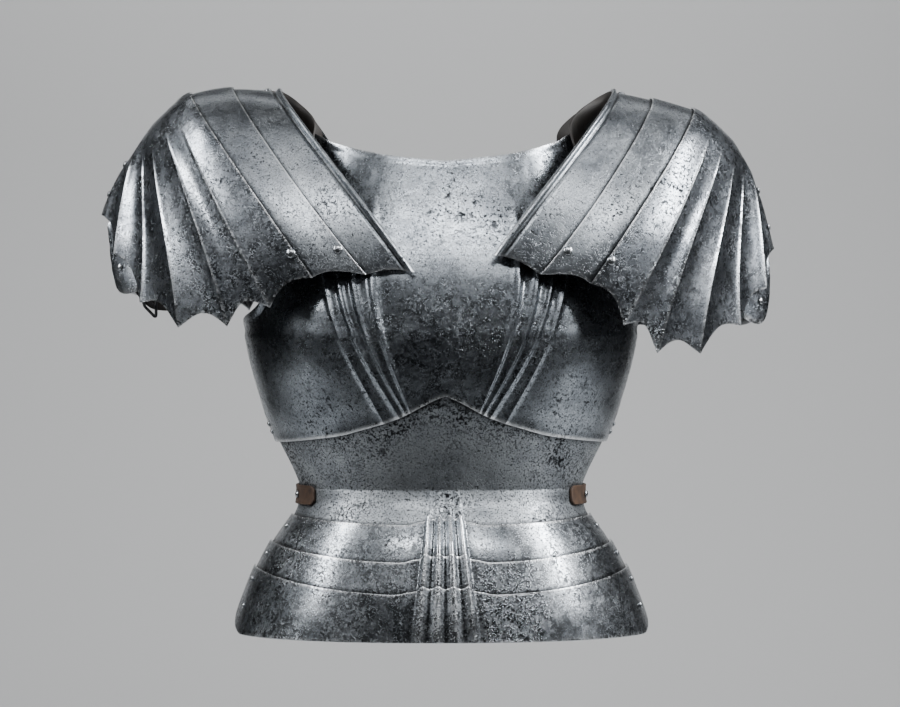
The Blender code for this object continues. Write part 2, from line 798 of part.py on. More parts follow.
def make_waist_straps(profiles, leather, parts):
    for side, word in SIDES:
        edges = ([], [], [])
        for share, width in WAIST_STRAP_LINES[::side]:
            lift = STRAP_SEAT + LEATHER - LAYER * smooth((share - 1) / 0.1)
            for edge, sign in zip(edges, (-1, 0, 1)):
                height = WAIST_STRAP_HEIGHT + sign * WAIST_STRAP_WIDTH / 2 * width
                edge.append(on_torso(side * share * SIDE, height, lift))
        strap(f"{word}_waist_strap", edges, leather, parts)
        lift = 2 * STRAP_SEAT + LEATHER
        place = torso_place(side * WAIST_RIVET * SIDE, WAIST_STRAP_HEIGHT, lift)
        add_rivet(f"{word}_rivet_waist", profiles["plain"], place, parts)


def shoulder_end(side, front, drop):
    """Where a shoulder strap lies on the shoulder tip of the breast or the back."""
    turn = SHOULDER_STRAP_SIDE * SIDE
    lift = (BREAST_LAYER * LAYER if front > 0 else -LAYER) + STRAP_SEAT + LEATHER
    return torso_place(side * (turn if front > 0 else math.pi - turn), TIP_HEIGHT - drop, lift)


def make_shoulder_straps(profiles, leather, parts):
    for side, word in SIDES:
        def crest(station):
            return on_spaulder(word, station, 0, 1, -PLATE - STRAP_SEAT)
        top = crest(SHOULDER_STRAP_STATION)
        across_top = (crest(SHOULDER_STRAP_STATION + 0.1) - crest(SHOULDER_STRAP_STATION - 0.1))
        across_top = across_top.normalized() * side
        path = []
        for front in (1, -1):
            start, normal = shoulder_end(side, front, 0.002)
            end, _ = shoulder_end(side, front, SHOULDER_STRAP_LAP)
            up = (start - end).normalized()
            across_end = up.cross(normal).normalized() * front
            handles = (top + Vector((0, -front * SHOULDER_STRAP_REACH, 0)),
                       start + up * SHOULDER_STRAP_REACH)
            half = [(end, across_end)]
            for share in steps(0, 1, 5):
                rest = 1 - share
                point = (start * rest ** 3 + handles[1] * 3 * rest ** 2 * share
                         + handles[0] * 3 * rest * share ** 2 + top * share ** 3)
                half.append((point, across_end.lerp(across_top, share).normalized()))
            path += half if front > 0 else half[-2::-1]
            place = shoulder_end(side, front, SHOULDER_STRAP_LAP * 0.6)
            end_word = "front" if front > 0 else "back"
            add_rivet(f"{word}_{end_word}_rivet_shoulder", profiles["plain"], place, parts)
        half_width = SHOULDER_STRAP_WIDTH / 2
        grid = [[point + across * half_width * sign for point, across in path] for sign in (-1, 1)]
        shell(f"{word}_shoulder_strap", [grid], leather, parts, LEATHER)


def make_arm_straps(profiles, leather, iron, parts):
    """A strap from the front of the arm lame round the inner side of the arm to its back."""
    for side, word in SIDES:
        ends = {}
        for front, end_word in ((1, "front"), (-1, "back")):
            def lame(station, fall):
                return arm_lame_point(word, station, fall, front, 0)
            outer = lame(ARM_STRAP_STATION, ARM_STRAP_FALL)
            up = (lame(ARM_STRAP_STATION, ARM_STRAP_FALL - 0.2)
                  - lame(ARM_STRAP_STATION, ARM_STRAP_FALL + 0.2)).normalized()
            along = lame(ARM_STRAP_STATION + 0.1, ARM_STRAP_FALL) - outer
            normal = along.cross(up).normalized() * side * front
            ends[front] = (outer - normal * (PLATE + 3 * STRAP_SEAT), up)
            add_rivet(f"{word}_{end_word}_rivet_arm_strap", profiles["plain"],
                      (outer + normal * STRAP_SEAT, normal), parts)
        start = ends[1][0]
        path = [ends[1]]
        for front, rows in ((1, ARM_STRAP_ROUTE), (-1, ARM_STRAP_ROUTE[-2::-1])):
            for inward, forward, hang in rows:
                shift = BACK_TURN if front < 0 else BACK_TURN / 2
                path.append((Vector((
                    start.x - side * inward * ARM_STRAP_SPAN,
                    -front * forward * ARM_STRAP_DEPTH,
                    start.z - hang * ARM_STRAP_HANG[word],
                )) - Vector((side * shift * (1 - front) / 2, 0, 0)), Vector((0, 0, 1))))
        path.append(ends[-1])
        if side > 0:
            path.reverse()
        half = ARM_STRAP_WIDTH / 2
        low = [point - up * half for point, up in path]
        high = [point + up * half for point, up in path]
        strap(f"{word}_arm_strap", (low, high), leather, parts)
        at = (1, 2) if side < 0 else (-2, -3)
        first, second = path[at[0]][0], path[at[1]][0]
        make_buckle(f"{word}_arm_buckle", first, second, side, iron, parts)


def make_buckle(name, first, second, side, iron, parts):
    """A closed rectangular frame, lying on the strap between two points of its route."""
    along = (second - first).normalized()
    outward = (along.cross(Vector((0, 0, 1))) * -side).normalized()
    centre = first.lerp(second, BUCKLE_SHARE) + outward * (SEAT + BUCKLE_WIRE)
    curve = bpy.data.curves.new(name, "CURVE")
    curve.dimensions = "3D"
    curve.bevel_depth = BUCKLE_WIRE
    curve.bevel_resolution = 1
    line = curve.splines.new("POLY")
    corners = ((-1, -1), (1, -1), (1, 1), (-1, 1))
    line.points.add(len(corners) - 1)
    for point, (across, up) in zip(line.points, corners):
        place = centre + along * across * BUCKLE_LENGTH / 2
        place += Vector((0, 0, up * BUCKLE_HEIGHT / 2 - SEAT_HEIGHT))
        point.co = (*place, 1)
    line.use_cyclic_u = True
    curve.materials.append(iron)
    item = bpy.data.objects.new(name, curve)
    parts.objects.link(item)


def main():
    clear_scene()
    parts = make_collection("cuirass")
    cutters = make_collection("cutters")
    steel = make_material("steel_plate", STEEL, 1.0, 0.35)
    rivet_steel = make_material("rivet_steel", RIVET_STEEL, 1.0, 0.3)
    leather = make_material("strap_leather", BROWN_LEATHER, 0.0, 0.6)
    iron = make_material("buckle_iron", BLACK_IRON, 1.0, 0.5)
    profiles = {
        "spaulder": rivet_profile("spaulder_rivet", SPAULDER_HEAD, True, rivet_steel),
        "fauld": rivet_profile("fauld_rivet", FAULD_HEAD, True, rivet_steel),
        "hem": rivet_profile("hem_rivet", FAULD_HEAD, False, rivet_steel),
        "plain": rivet_profile("plain_rivet", PLAIN_HEAD, False, rivet_steel),
        "small": rivet_profile("small_rivet", SMALL_HEAD, False, rivet_steel),
    }
    plates = make_torso(steel, parts, cutters)
    make_fauld_rivets(plates, profiles, parts, cutters)
    for _, word in SIDES:
        make_spaulder(word, steel, parts, cutters)
        make_spaulder_rivets(word, profiles, parts)
    make_waist_straps(profiles, leather, parts)
    make_shoulder_straps(profiles, leather, parts)
    make_arm_straps(profiles, leather, iron, parts)


main()
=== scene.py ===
# %% [markdown]
# # A steel cuirass of the Gothic fashion
#
# The cuirass is hammered from thin plates: a breastplate over a plackart, a back, three hoops
# of fauld and two spaulders with fan-shaped flutes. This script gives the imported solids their
# fine surface: every plate is drawn again from the same named sizes, but through many more
# points, so that curves, flutes and scallops are smooth and keep their place on the frame.
#
# Everything is in metres, +Z up, with the breast towards -Y and the wearer's right at -X.

# %% Load the frame
import math

import bmesh
import bpy
from mathutils import Matrix, Vector


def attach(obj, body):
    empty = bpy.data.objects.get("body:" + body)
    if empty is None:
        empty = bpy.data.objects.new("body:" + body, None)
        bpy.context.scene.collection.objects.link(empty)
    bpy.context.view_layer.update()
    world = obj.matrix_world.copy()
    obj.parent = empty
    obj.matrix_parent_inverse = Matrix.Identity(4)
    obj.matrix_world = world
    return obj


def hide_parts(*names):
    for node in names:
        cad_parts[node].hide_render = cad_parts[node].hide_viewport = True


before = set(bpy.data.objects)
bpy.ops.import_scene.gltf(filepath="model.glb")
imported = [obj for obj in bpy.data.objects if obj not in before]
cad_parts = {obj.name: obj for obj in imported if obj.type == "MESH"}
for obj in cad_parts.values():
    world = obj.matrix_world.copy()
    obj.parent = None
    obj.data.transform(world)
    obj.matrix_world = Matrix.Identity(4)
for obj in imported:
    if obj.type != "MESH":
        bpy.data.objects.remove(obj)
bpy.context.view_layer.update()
DENSITY = 2

# %% [markdown]
# ## Sizes of the plates
#
# An armourer works from a few measures of the wearer: chest, waist, hip and shoulder, with the
# heights between them. Each measure is written once here. The tables that follow hold only
# shares of these measures, so the form keeps its proportions when a measure changes.

# %% Sizes of breast, plackart, back and fauld
# Plates, leather and the air between them
PLATE = 0.0016
PLAY = 0.0009
LAYER = PLATE + PLAY
LEATHER = 0.0025
SEAT = 0.0003
STRAP_SEAT = 0.0007
MERGE = 0.00002
BREAST_LAYER = 1.22

# Heights above the hem
FAULD_HEIGHT = 0.108
WAIST_HEIGHT = 0.134
SEAM_HEIGHT = 0.177
SEAM_PEAK = 0.043
CHEST_HEIGHT = 0.274
ARM_HEIGHT = 0.287
NECK_HEIGHT = 0.429
BACK_NECK_HEIGHT = 0.424
TIP_HEIGHT = 0.458
SEAT_HEIGHT = 0.488

# Widths and depths of the bare torso form, at the hem, waist, chest and shoulder tips
HEM_WIDTH = 0.376
WAIST_WIDTH = 0.262
CHEST_WIDTH = 0.3586
NECK_WIDTH = 0.254
HEM_FRONT = 0.150
WAIST_FRONT = 0.106
CHEST_FRONT = 0.150
NECK_FRONT = 0.092
HEM_BACK = 0.110
WAIST_BACK = 0.080
CHEST_BACK = 0.108
NECK_BACK = 0.070
SQUARENESS = 2.3
SIDE = math.pi / 2
SIDES = ((-1, "right"), (1, "left"))

# Level 0 is the hem, 1 the waist, 2 the chest, 3 the shoulder tips. Girth and depth say, on
# the same scale, between which of the named sizes the form lies at that level.
TORSO_ROWS = (
    # level, girth, depth
    (0.000, 0.000, 0.000),
    (0.180, 0.140, 0.070),
    (0.440, 0.383, 0.250),
    (0.627, 0.617, 0.430),
    (0.806, 0.905, 0.730),
    (0.900, 0.985, 0.910),
    (1.000, 1.000, 1.000),
    (1.114, 1.124, 1.070),
    (1.300, 1.393, 1.250),
    (1.457, 1.586, 1.450),
    (1.571, 1.689, 1.610),
    (1.807, 1.886, 1.890),
    (2.000, 2.000, 2.000),
    (2.130, 2.040, 2.020),
    (2.283, 2.160, 2.100),
    (2.500, 2.426, 2.310),
    (2.717, 2.694, 2.600),
    (2.962, 2.960, 2.950),
    (3.000, 3.000, 3.000),
)

# The lower edge of the breastplate falls from its peak in the middle to its sides
SEAM_ROWS = (
    # share of the side angle, share of the fall
    (0.00, 0.00),
    (0.13, 0.45),
    (0.27, 0.70),
    (0.40, 0.85),
    (0.70, 0.97),
    (1.00, 1.00),
)

# The upper edge: along the neck to the shoulder tip, then down the arm opening to the side
TOP_ROWS = (
    # way along the edge, share of the side angle, share of neck to tip (above 0) or to arm
    (0.00, 0.000, 0.00),
    (0.20, 0.250, 0.24),
    (0.38, 0.530, 0.66),
    (0.46, 0.715, 1.00),
    (0.52, 0.810, 0.79),
    (0.60, 0.740, -0.08),
    (0.70, 0.685, -0.38),
    (0.80, 0.650, -0.68),
    (0.90, 0.720, -0.91),
    (1.00, 1.000, -1.00),
)
ARM_EDGE_START = 0.52

# Lines of the breastplate from its lower edge to its upper edge, with the fan of chest
# flutes: where each line lies at the edge below, at mid height and on the edge above
CHEST_LINES = (
    # share of the side angle below, at mid height, way along the upper edge, relief
    (0.000, 0.000, 0.00, 0.0),
    (0.045, 0.100, 0.10, 0.0),
    (0.078, 0.170, 0.16, 0.0),
    (0.093, 0.208, 0.20, 1.0),
    (0.100, 0.242, 0.23, 0.1),
    (0.107, 0.276, 0.26, 1.0),
    (0.118, 0.303, 0.29, 0.1),
    (0.129, 0.331, 0.32, 1.0),
    (0.155, 0.357, 0.35, 0.1),
    (0.185, 0.385, 0.38, 0.8),
    (0.220, 0.430, 0.42, 0.0),
    (0.300, 0.475, 0.47, 0.0),
    (0.400, 0.520, 0.54, 0.0),
    (0.520, 0.545, 0.64, 0.0),
    (0.640, 0.615, 0.76, 0.0),
    (0.760, 0.755, 0.87, 0.0),
    (0.880, 0.890, 0.95, 0.0),
    (1.000, 1.000, 1.00, 0.0),
)
CHEST_RELIEF = 0.0035
CHEST_RISE = (
    # way up the breastplate, share of the relief
    (0.00, 0.25),
    (0.20, 0.70),
    (0.45, 1.00),
    (0.65, 0.60),
    (0.85, 0.00),
    (1.00, 0.00),
)
ARM_FLANGE = 0.008
ARM_FLANGE_START = 0.90
ARM_FLANGE_SIDE = 0.3
UNDERLAP = 0.014

# The fluted band down the middle of the fauld: half of it, mirrored
BAND_WIDTH = 0.038
BAND_SPREAD = 0.767
RIB_HEIGHT = 0.0032
RIB_START = 0.142
RIB_FULL = 0.108
BAND_RISE = 0.007
BAND_LINES = (
    # share of half the band, relief
    (0.00, 0.25),
    (0.25, 1.00),
    (0.50, 0.25),
    (0.75, 1.00),
    (1.00, 0.00),
)

# Fauld lames, top edge at the side and in front, as shares of the fauld's height
LAMES = (
    # name, side, front, underlap
    ("fauld_lame_1", 1.000, 0.945, 1.0),
    ("fauld_lame_2", 0.765, 0.640, 1.0),
    ("fauld_lame_3", 0.546, 0.380, 0.0),
)
HEM_CORNER = 0.022
HEM_CORNER_START = 0.74
RIVET_DROP = 0.0105
LAME_RIVET_SIDE = 0.86
HEM_RIVET = (0.84, 0.024)
PLACKART_BOTTOM = 0.094
BACK_BOTTOM = 0.078
BACK_EDGE = 0.95
BACK_MIDDLES = (
    # way along the edge, share of the side angle half way up
    (0.00, 0.00),
    (0.20, 0.19),
    (0.38, 0.36),
    (0.52, 0.49),
    (0.60, 0.52),
    (0.70, 0.57),
    (0.80, 0.66),
    (0.90, 0.79),
    (1.00, 0.95),
)

# %% [markdown]
# ## Sizes of the spaulders
#
# A spaulder is a row of plates over one shoulder. Its plates are told by lines that fall from
# the crest of the shoulder to the lower edge, first in front and then, a little shallower, at
# the back. The two hang differently on the real piece, so each has a table of its own.

# %% Sizes of the spaulders
# Spaulders. Stations run from the neck edge (0) over the edges of the second lame (1) and
# the fan plate (2) and its five ridges (3 to 7) to the middle of the arm's outer side (8).
CREST_RISE = 0.044
CREST_HEIGHT = TIP_HEIGHT + CREST_RISE
SHOULDER_REACH = 0.308
SHOULDER_DEPTH = 0.150
SHOULDER_DROP = 0.221
CREST_LEAN = 0.030
CREST_FULLNESS = 0.60
BACK_SHARE = 0.84
BACK_TURN = 0.018
BACK_TURN_DEPTH = 0.080
SPAULDER_FORM = (
    # station, edge forward, lean of the line, rise of the line
    (0, 1.000, 0.140, 0.281),
    (1, 0.987, 0.146, 0.222),
    (2, 0.967, 0.107, 0.208),
    (3, 0.880, 0.133, 0.348),
    (4, 0.787, 0.075, 0.421),
    (5, 0.627, 0.026, 0.339),
    (6, 0.367, -0.023, 0.285),
    (7, 0.187, -0.010, 0.200),
    (8, 0.000, -0.014, 0.081),
)
SPAULDER_LINES = {
    "right": (
        # station, crest out, crest drop, edge out, edge drop
        (0, 0.477, 0.009, 0.088, 0.783),
        (1, 0.623, 0.000, 0.227, 0.792),
        (2, 0.747, 0.032, 0.380, 0.801),
        (3, 0.789, 0.077, 0.500, 0.919),
        (4, 0.821, 0.118, 0.623, 0.995),
        (5, 0.851, 0.158, 0.763, 1.000),
        (6, 0.877, 0.204, 0.880, 0.900),
        (7, 0.899, 0.249, 0.961, 0.697),
        (8, 0.919, 0.290, 1.000, 0.534),
    ),
    "left": (
        (0, 0.510, 0.005, 0.138, 0.713),
        (1, 0.630, 0.041, 0.273, 0.790),
        (2, 0.752, 0.092, 0.416, 0.825),
        (3, 0.799, 0.136, 0.511, 0.989),
        (4, 0.836, 0.181, 0.610, 1.102),
        (5, 0.867, 0.223, 0.739, 1.106),
        (6, 0.893, 0.277, 0.872, 0.995),
        (7, 0.918, 0.336, 0.956, 0.839),
        (8, 0.932, 0.380, 0.987, 0.674),
    ),
}
SCALLOPS = (0.020, 0.020, 0.035, 0.055, 0.055, 0.065, 0.070, 0.080)
FLUTE_DEPTH = 0.0045
FIRST_RIDGE = 3
LAST_STATION = 8
FLUTE_START = 0.20
PLATE_UNDERLAP = 0.36
FAN_PLAY = 0.0015
BEAD_RISE = 0.003
RIVET_STATIONS = (0.14, 0.08)
RIVET_FALL = 0.87

# Arm lame, under the end of the fan plate
ARM_LAME_START = 6.35
ARM_LAME_TOP = 0.62
ARM_LAME_ENDS = ((6.35, 1.02), (7.0, 1.26), (8.0, 1.45))
ARM_LAME_FLARE = 0.009
ARM_LAME_SINK = 0.0036

# %% Sizes of straps and rivets
# Straps. A waist strap is told by its front end, its back end and the places between.
WAIST_STRAP_WIDTH = 0.019
WAIST_STRAP_HEIGHT = 0.1275
WAIST_STRAP_LINES = (
    # share of the side angle, share of the width
    (0.660, 0.50),
    (0.675, 0.85),
    (0.700, 1.00),
    (0.780, 1.00),
    (0.860, 1.00),
    (0.940, 1.00),
    (1.020, 1.00),
    (1.100, 1.00),
    (1.180, 1.00),
    (1.260, 1.00),
    (1.340, 1.00),
)
WAIST_RIVET = 0.865
SHOULDER_STRAP_WIDTH = 0.024
SHOULDER_STRAP_STATION = 0.30
SHOULDER_STRAP_SIDE = 0.72
SHOULDER_STRAP_LAP = 0.026
SHOULDER_STRAP_REACH = 0.020
ARM_STRAP_WIDTH = 0.015
ARM_STRAP_STATION = 6.95
ARM_STRAP_FALL = 0.72
ARM_STRAP_HANG = {"right": 0.031, "left": 0.008}
ARM_STRAP_DEPTH = 0.040
ARM_STRAP_SPAN = 0.066
ARM_STRAP_ROUTE = (
    # share of the span towards the body, share of the depth forward, share of the hang
    (0.15, 0.85, 0.45),
    (0.38, 0.98, 0.95),
    (0.66, 0.86, 1.05),
    (0.90, 0.50, 1.08),
    (1.00, 0.00, 1.10),
)
BUCKLE_HEIGHT = 0.021
BUCKLE_LENGTH = 0.017
BUCKLE_WIRE = 0.0014
BUCKLE_SHARE = 1.05
# Rivets
SPAULDER_HEAD = 0.0044
FAULD_HEAD = 0.0031
PLAIN_HEAD = 0.0034
SMALL_HEAD = 0.0025
HEAD_RISE = 0.58
SIDE_RIVETS = (0.193, 0.186)
SIDE_RIVET_SIDE = 0.92
PEEN_RADIUS = 0.0032
PEEN_PLAY = 0.0030
PEEN_THICKNESS = 0.0010

# %% [markdown]
# ## Smooth curves from short tables
#
# `table_at` runs a smooth curve through the rows of a table. A blacksmith's template does the
# same: a few measured points and a springy lath bent through them.

# %% Curves and scales
def smooth(share):
    share = min(max(share, 0.0), 1.0)
    return share * share * (3.0 - 2.0 * share)


def table_at(rows, place):
    """Values between the rows of a table whose first column is the place, as a smooth curve."""
    place = min(max(place, rows[0][0]), rows[-1][0])
    upper = next(index for index in range(1, len(rows)) if place <= rows[index][0])
    low, high = rows[upper - 1], rows[upper]
    before = rows[max(upper - 2, 0)]
    after = rows[min(upper + 1, len(rows) - 1)]
    span = high[0] - low[0]
    share = (place - low[0]) / span
    values = []
    for column in range(1, len(low)):
        leave = span * (high[column] - before[column]) / (high[0] - before[0])
        arrive = span * (after[column] - low[column]) / (after[0] - low[0])
        values.append(
            low[column] * (1 + 2 * share) * (1 - share) ** 2
            + leave * share * (1 - share) ** 2
            + high[column] * share ** 2 * (3 - 2 * share)
            + arrive * share ** 2 * (share - 1)
        )
    return values


def between(sizes, scale):
    """The size at a place on the scale 0, 1, 2, 3 of hem, waist, chest and shoulder tips."""
    scale = min(max(scale, 0.0), len(sizes) - 1.0)
    low = min(int(scale), len(sizes) - 2)
    return sizes[low] + (sizes[low + 1] - sizes[low]) * (scale - low)

def steps(low, high, count):
    return [low + (high - low) * index / count for index in range(count + 1)]


# %% The form of the torso
def torso_level(height):
    levels = (0.0, WAIST_HEIGHT, CHEST_HEIGHT, TIP_HEIGHT)
    for index in range(3):
        if height <= levels[index + 1] or index == 2:
            return index + (height - levels[index]) / (levels[index + 1] - levels[index])


def torso_form(angle, height):
    """A point of the bare torso form. Angle 0 is the front, pi / 2 the left side."""
    girth, depth = table_at(TORSO_ROWS, torso_level(height))
    half = between((HEM_WIDTH, WAIST_WIDTH, CHEST_WIDTH, NECK_WIDTH), girth) / 2
    front = between((HEM_FRONT, WAIST_FRONT, CHEST_FRONT, NECK_FRONT), depth)
    back = between((HEM_BACK, WAIST_BACK, CHEST_BACK, NECK_BACK), depth)
    sine, cosine = math.sin(angle), math.cos(angle)
    power = 2 / SQUARENESS
    across = half * math.copysign(abs(sine) ** power, sine)
    deep = (front if cosine > 0 else back) * math.copysign(abs(cosine) ** power, cosine)
    return Vector((across, -deep, height))


def torso_normal(angle, height):
    step = 0.002
    along = torso_form(angle + step, height) - torso_form(angle - step, height)
    up = torso_form(angle, height + step) - torso_form(angle, height - step)
    return along.cross(up).normalized()


def on_torso(angle, height, lift):
    return torso_form(angle, height) + torso_normal(angle, height) * lift


def angle_at(across, height):
    """The angle at which the torso form is this far from the middle."""
    half = torso_form(SIDE, height).x
    return math.asin(min(across / half, 1.0) ** (SQUARENESS / 2))


def seam_height(share):
    return SEAM_HEIGHT + SEAM_PEAK * (1 - table_at(SEAM_ROWS, share)[0])

print("half the chest:", round(torso_form(SIDE, CHEST_HEIGHT).x, 4))

# %% [markdown]
# ## Making a plate
#
# Real plates are of one thickness with worn, slightly rounded edges. So a plate starts as an
# open net of points on its outer face, gets its thickness inwards, and has its rim rounded by
# a fine bevel. The rim takes a brighter finish, because hands and straps keep it polished.

# %% From a net of points to a plate
PLATE_EDGE = 0.0007


def mesh_object(name, work, materials, sharp=20):
    mesh = bpy.data.meshes.new(name)
    bmesh.ops.translate(work, verts=work.verts, vec=(0, 0, -SEAT_HEIGHT))
    work.to_mesh(mesh)
    work.free()
    mesh.shade_smooth()
    mesh.set_sharp_from_angle(angle=math.radians(sharp))
    for material in materials:
        mesh.materials.append(material)
    item = bpy.data.objects.new(name, mesh)
    bpy.context.scene.collection.objects.link(item)
    return item


def carry(item, node, body):
    """Puts a piece in its node's place, on the body that it moves with."""
    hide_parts(node)
    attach(item, body)
    return item


def shell(name, grids, materials, thickness, edge):
    """Columns of places from left to right as they are looked at, each from the bottom up.
    A place is a point, how much wear and painted highlight it carries, and how much painted shade lies
    there."""
    work = bmesh.new()
    layers = [work.verts.layers.float.new(word) for word in ("wear_and_highlight", "painted_shade")]

    def add_vert(place):
        point, *marks = place
        vert = work.verts.new(point)
        for layer, mark in zip(layers, marks):
            vert[layer] = mark
        return vert

    for grid in grids:
        columns = [[add_vert(place) for place in column] for column in grid]
        for left, right in zip(columns, columns[1:]):
            for row in range(len(left) - 1):
                work.faces.new((left[row], right[row], right[row + 1], left[row + 1]))
    bmesh.ops.remove_doubles(work, verts=work.verts, dist=MERGE)
    item = mesh_object(name, work, materials)
    solidify = item.modifiers.new("thickness", "SOLIDIFY")
    solidify.thickness = thickness
    solidify.offset = -1
    solidify.material_offset_rim = min(1, len(materials) - 1)
    solidify.material_offset = len(materials) - 1
    bevel = item.modifiers.new("worn_edge", "BEVEL")
    bevel.width = edge
    bevel.segments = 3
    bevel.limit_method = "ANGLE"
    bevel.angle_limit = math.radians(60)
    return item


def near(distance, reach):
    """1 at an edge, falling to 0 at this reach from it."""
    return smooth(1 - distance / reach)


def edged(low, high, count, margin):
    """Even steps with closer ones in a margin at each end."""
    inner = steps(low + margin, high - margin, count)
    return [low, low + margin * 0.3, low + margin * 0.65] + inner + [
        high - margin * 0.65, high - margin * 0.3, high]


# %% [markdown]
# ## Finishes
#
# Colours are written as the sRGB hex values that a colour picker shows, and made linear in one
# place. Patterns are in metres on the object itself, so a pit is a pit of real size.

# %% Colours and nodes
def linear(code):
    """The linear colour of an sRGB hex code such as #808080."""
    channels = [int(code[at:at + 2], 16) / 255 for at in (1, 3, 5)]
    return [c / 12.92 if c <= 0.04045 else ((c + 0.055) / 1.055) ** 2.4 for c in channels] + [1.0]


def add_node(tree, kind, settings=(), links=()):
    """Adds a node, sets its fields or sockets, and links sources to its sockets."""
    item = tree.nodes.new(kind)
    for key, value in settings:
        if isinstance(key, str) and hasattr(item, key):
            setattr(item, key, value)
        else:
            item.inputs[key].default_value = value
    for key, source in links:
        tree.links.new(source, item.inputs[key])
    return item


def new_material(name):
    material = bpy.data.materials.new(name)
    material.use_nodes = True
    tree = material.node_tree
    tree.nodes.clear()
    place = add_node(tree, "ShaderNodeTexCoord")
    return material, tree, place.outputs["Object"]


def finish_material(tree, settings, links):
    shader = add_node(tree, "ShaderNodeBsdfPrincipled", settings, links)
    output = add_node(tree, "ShaderNodeOutputMaterial")
    tree.links.new(shader.outputs["BSDF"], output.inputs["Surface"])


# %% [markdown]
# ### Old polished steel
#
# The plates were ground bright and have since been rusted and cleaned many times. What is left
# is grey steel with clusters of small dark pits, darker clouds between them and a polish that
# is finer in some places than in others. Two noises at the real size of the pits, gated by a
# broad one, make the clusters. The same pits press the surface in a little.

# %% Old polished steel
def noise(tree, place, size, detail=4.0, roughness=0.55):
    """A noise whose features are about this many metres wide."""
    return add_node(tree, "ShaderNodeTexNoise",
                    (("Scale", 1 / size), ("Detail", detail), ("Roughness", roughness)),
                    (("Vector", place),)).outputs["Fac"]


def ramp(tree, source, low, high, first=0.0, last=1.0):
    """Maps low to first and high to last, and holds both beyond."""
    return add_node(tree, "ShaderNodeMapRange",
                    (("From Min", low), ("From Max", high), ("To Min", first), ("To Max", last),
                     ("clamp", True)),
                    (("Value", source),)).outputs["Result"]


def blend(tree, share, first, second):
    """Mixes two colours, given as hex codes or sockets."""
    settings, links = [], [("Fac", share)]
    for key, colour in (("Color1", first), ("Color2", second)):
        if isinstance(colour, str):
            settings.append((key, linear(colour)))
        else:
            links.append((key, colour))
    return add_node(tree, "ShaderNodeMixRGB", settings, links).outputs["Color"]


def multiply(tree, first, second):
    return add_node(tree, "ShaderNodeMath", (("operation", "MULTIPLY"),),
                    ((0, first), (1, second))).outputs["Value"]


def mark(tree, name):
    """A mark that the plate carries at each of its points."""
    return add_node(tree, "ShaderNodeAttribute", (("attribute_name", name),)).outputs["Fac"]


def shifted(tree, place, offset):
    """The same pattern from another place, so that it doesn't run on from plate to plate."""
    return add_node(tree, "ShaderNodeVectorMath", (("operation", "ADD"), (1, offset)),
                    ((0, place),)).outputs["Vector"]


def old_steel(name, bright, cloud, pit, pitting, polish, offset):
    material, tree, place = new_material(name)
    place = shifted(tree, place, (offset, -offset, 2 * offset))
    clouds = ramp(tree, noise(tree, place, 0.045, 6.0, 0.65), 0.40, 0.66)
    patches = ramp(tree, noise(tree, place, 0.060, 4.0, 0.6), 0.40, 0.62)
    small = ramp(tree, noise(tree, place, 0.0026, 3.0, 0.6), 0.60 - pitting, 0.64 - pitting)
    large = ramp(tree, noise(tree, place, 0.0085, 6.0, 0.75), 0.60 - pitting / 2, 0.64 - pitting / 2)
    pits = add_node(tree, "ShaderNodeMath", (("operation", "MAXIMUM"),),
                    ((0, multiply(tree, small, patches)),
                     (1, multiply(tree, large, patches)))).outputs["Value"]
    specks = ramp(tree, noise(tree, place, 0.0014, 2.0, 0.5), 0.64 - pitting, 0.69 - pitting)
    dark = add_node(tree, "ShaderNodeMath", (("operation", "MAXIMUM"),),
                    ((0, pits), (1, specks))).outputs["Value"]
    mottle = ramp(tree, noise(tree, place, 0.0016, 4.0, 0.7), 0.42, 0.62, 0.0, 0.42)
    colour = blend(tree, clouds, bright, cloud)
    colour = blend(tree, mottle, colour, pit)
    colour = blend(tree, dark, colour, pit)
    # Painted shade: near-black where a plate lies just under another plate's edge, in a groove or between
    # ribs.
    colour = blend(tree, mark(tree, "painted_shade"), colour, "#17181a")
    # Edges and crests painted brighter: partly real wear, partly a painted highlight where the edges catch
    # the light.
    colour = blend(tree, mark(tree, "wear_and_highlight"), colour, "#d3d6d9")
    grain = noise(tree, place, 0.010, 8.0, 0.7)
    smooth_part = ramp(tree, grain, 0.3, 0.7, polish - 0.05, polish + 0.10)
    rough = add_node(tree, "ShaderNodeMath", (("operation", "MULTIPLY_ADD"), (1, 0.30)),
                     ((0, dark), (2, smooth_part))).outputs["Value"]
    dents = noise(tree, place, 0.030, 3.0, 0.5)
    hammered = add_node(tree, "ShaderNodeBump", (("Strength", 0.10), ("Distance", 0.004)),
                        (("Height", dents),)).outputs["Normal"]
    pressed = add_node(tree, "ShaderNodeBump",
                       (("invert", True), ("Strength", 0.5), ("Distance", 0.0003)),
                       (("Height", dark), ("Normal", hammered))).outputs["Normal"]
    finish_material(tree, (("Metallic", 1.0),),
                    (("Base Color", colour), ("Roughness", rough), ("Normal", pressed)))
    return material


breast_steel = old_steel("hammered_steel_breast", "#a1a8af", "#7b8188", "#26282b", 0.025, 0.25, 0.0)
waist_steel = old_steel("hammered_steel_heavily_pitted", "#b4babf", "#91979d", "#26272a", 0.075, 0.42, 1.3)
hoop_steel = old_steel("hammered_steel_hoops", "#a8aeb4", "#7b8187", "#26282b", 0.045, 0.23, 2.1)
fan_steel = old_steel("hammered_steel_fan", "#a0a6ad", "#70767d", "#232528", 0.03, 0.25, 3.7)
neck_steel = old_steel("hammered_steel_shoulder", "#a8aeb4", "#838990", "#2b2d30", 0.035, 0.30, 5.2)
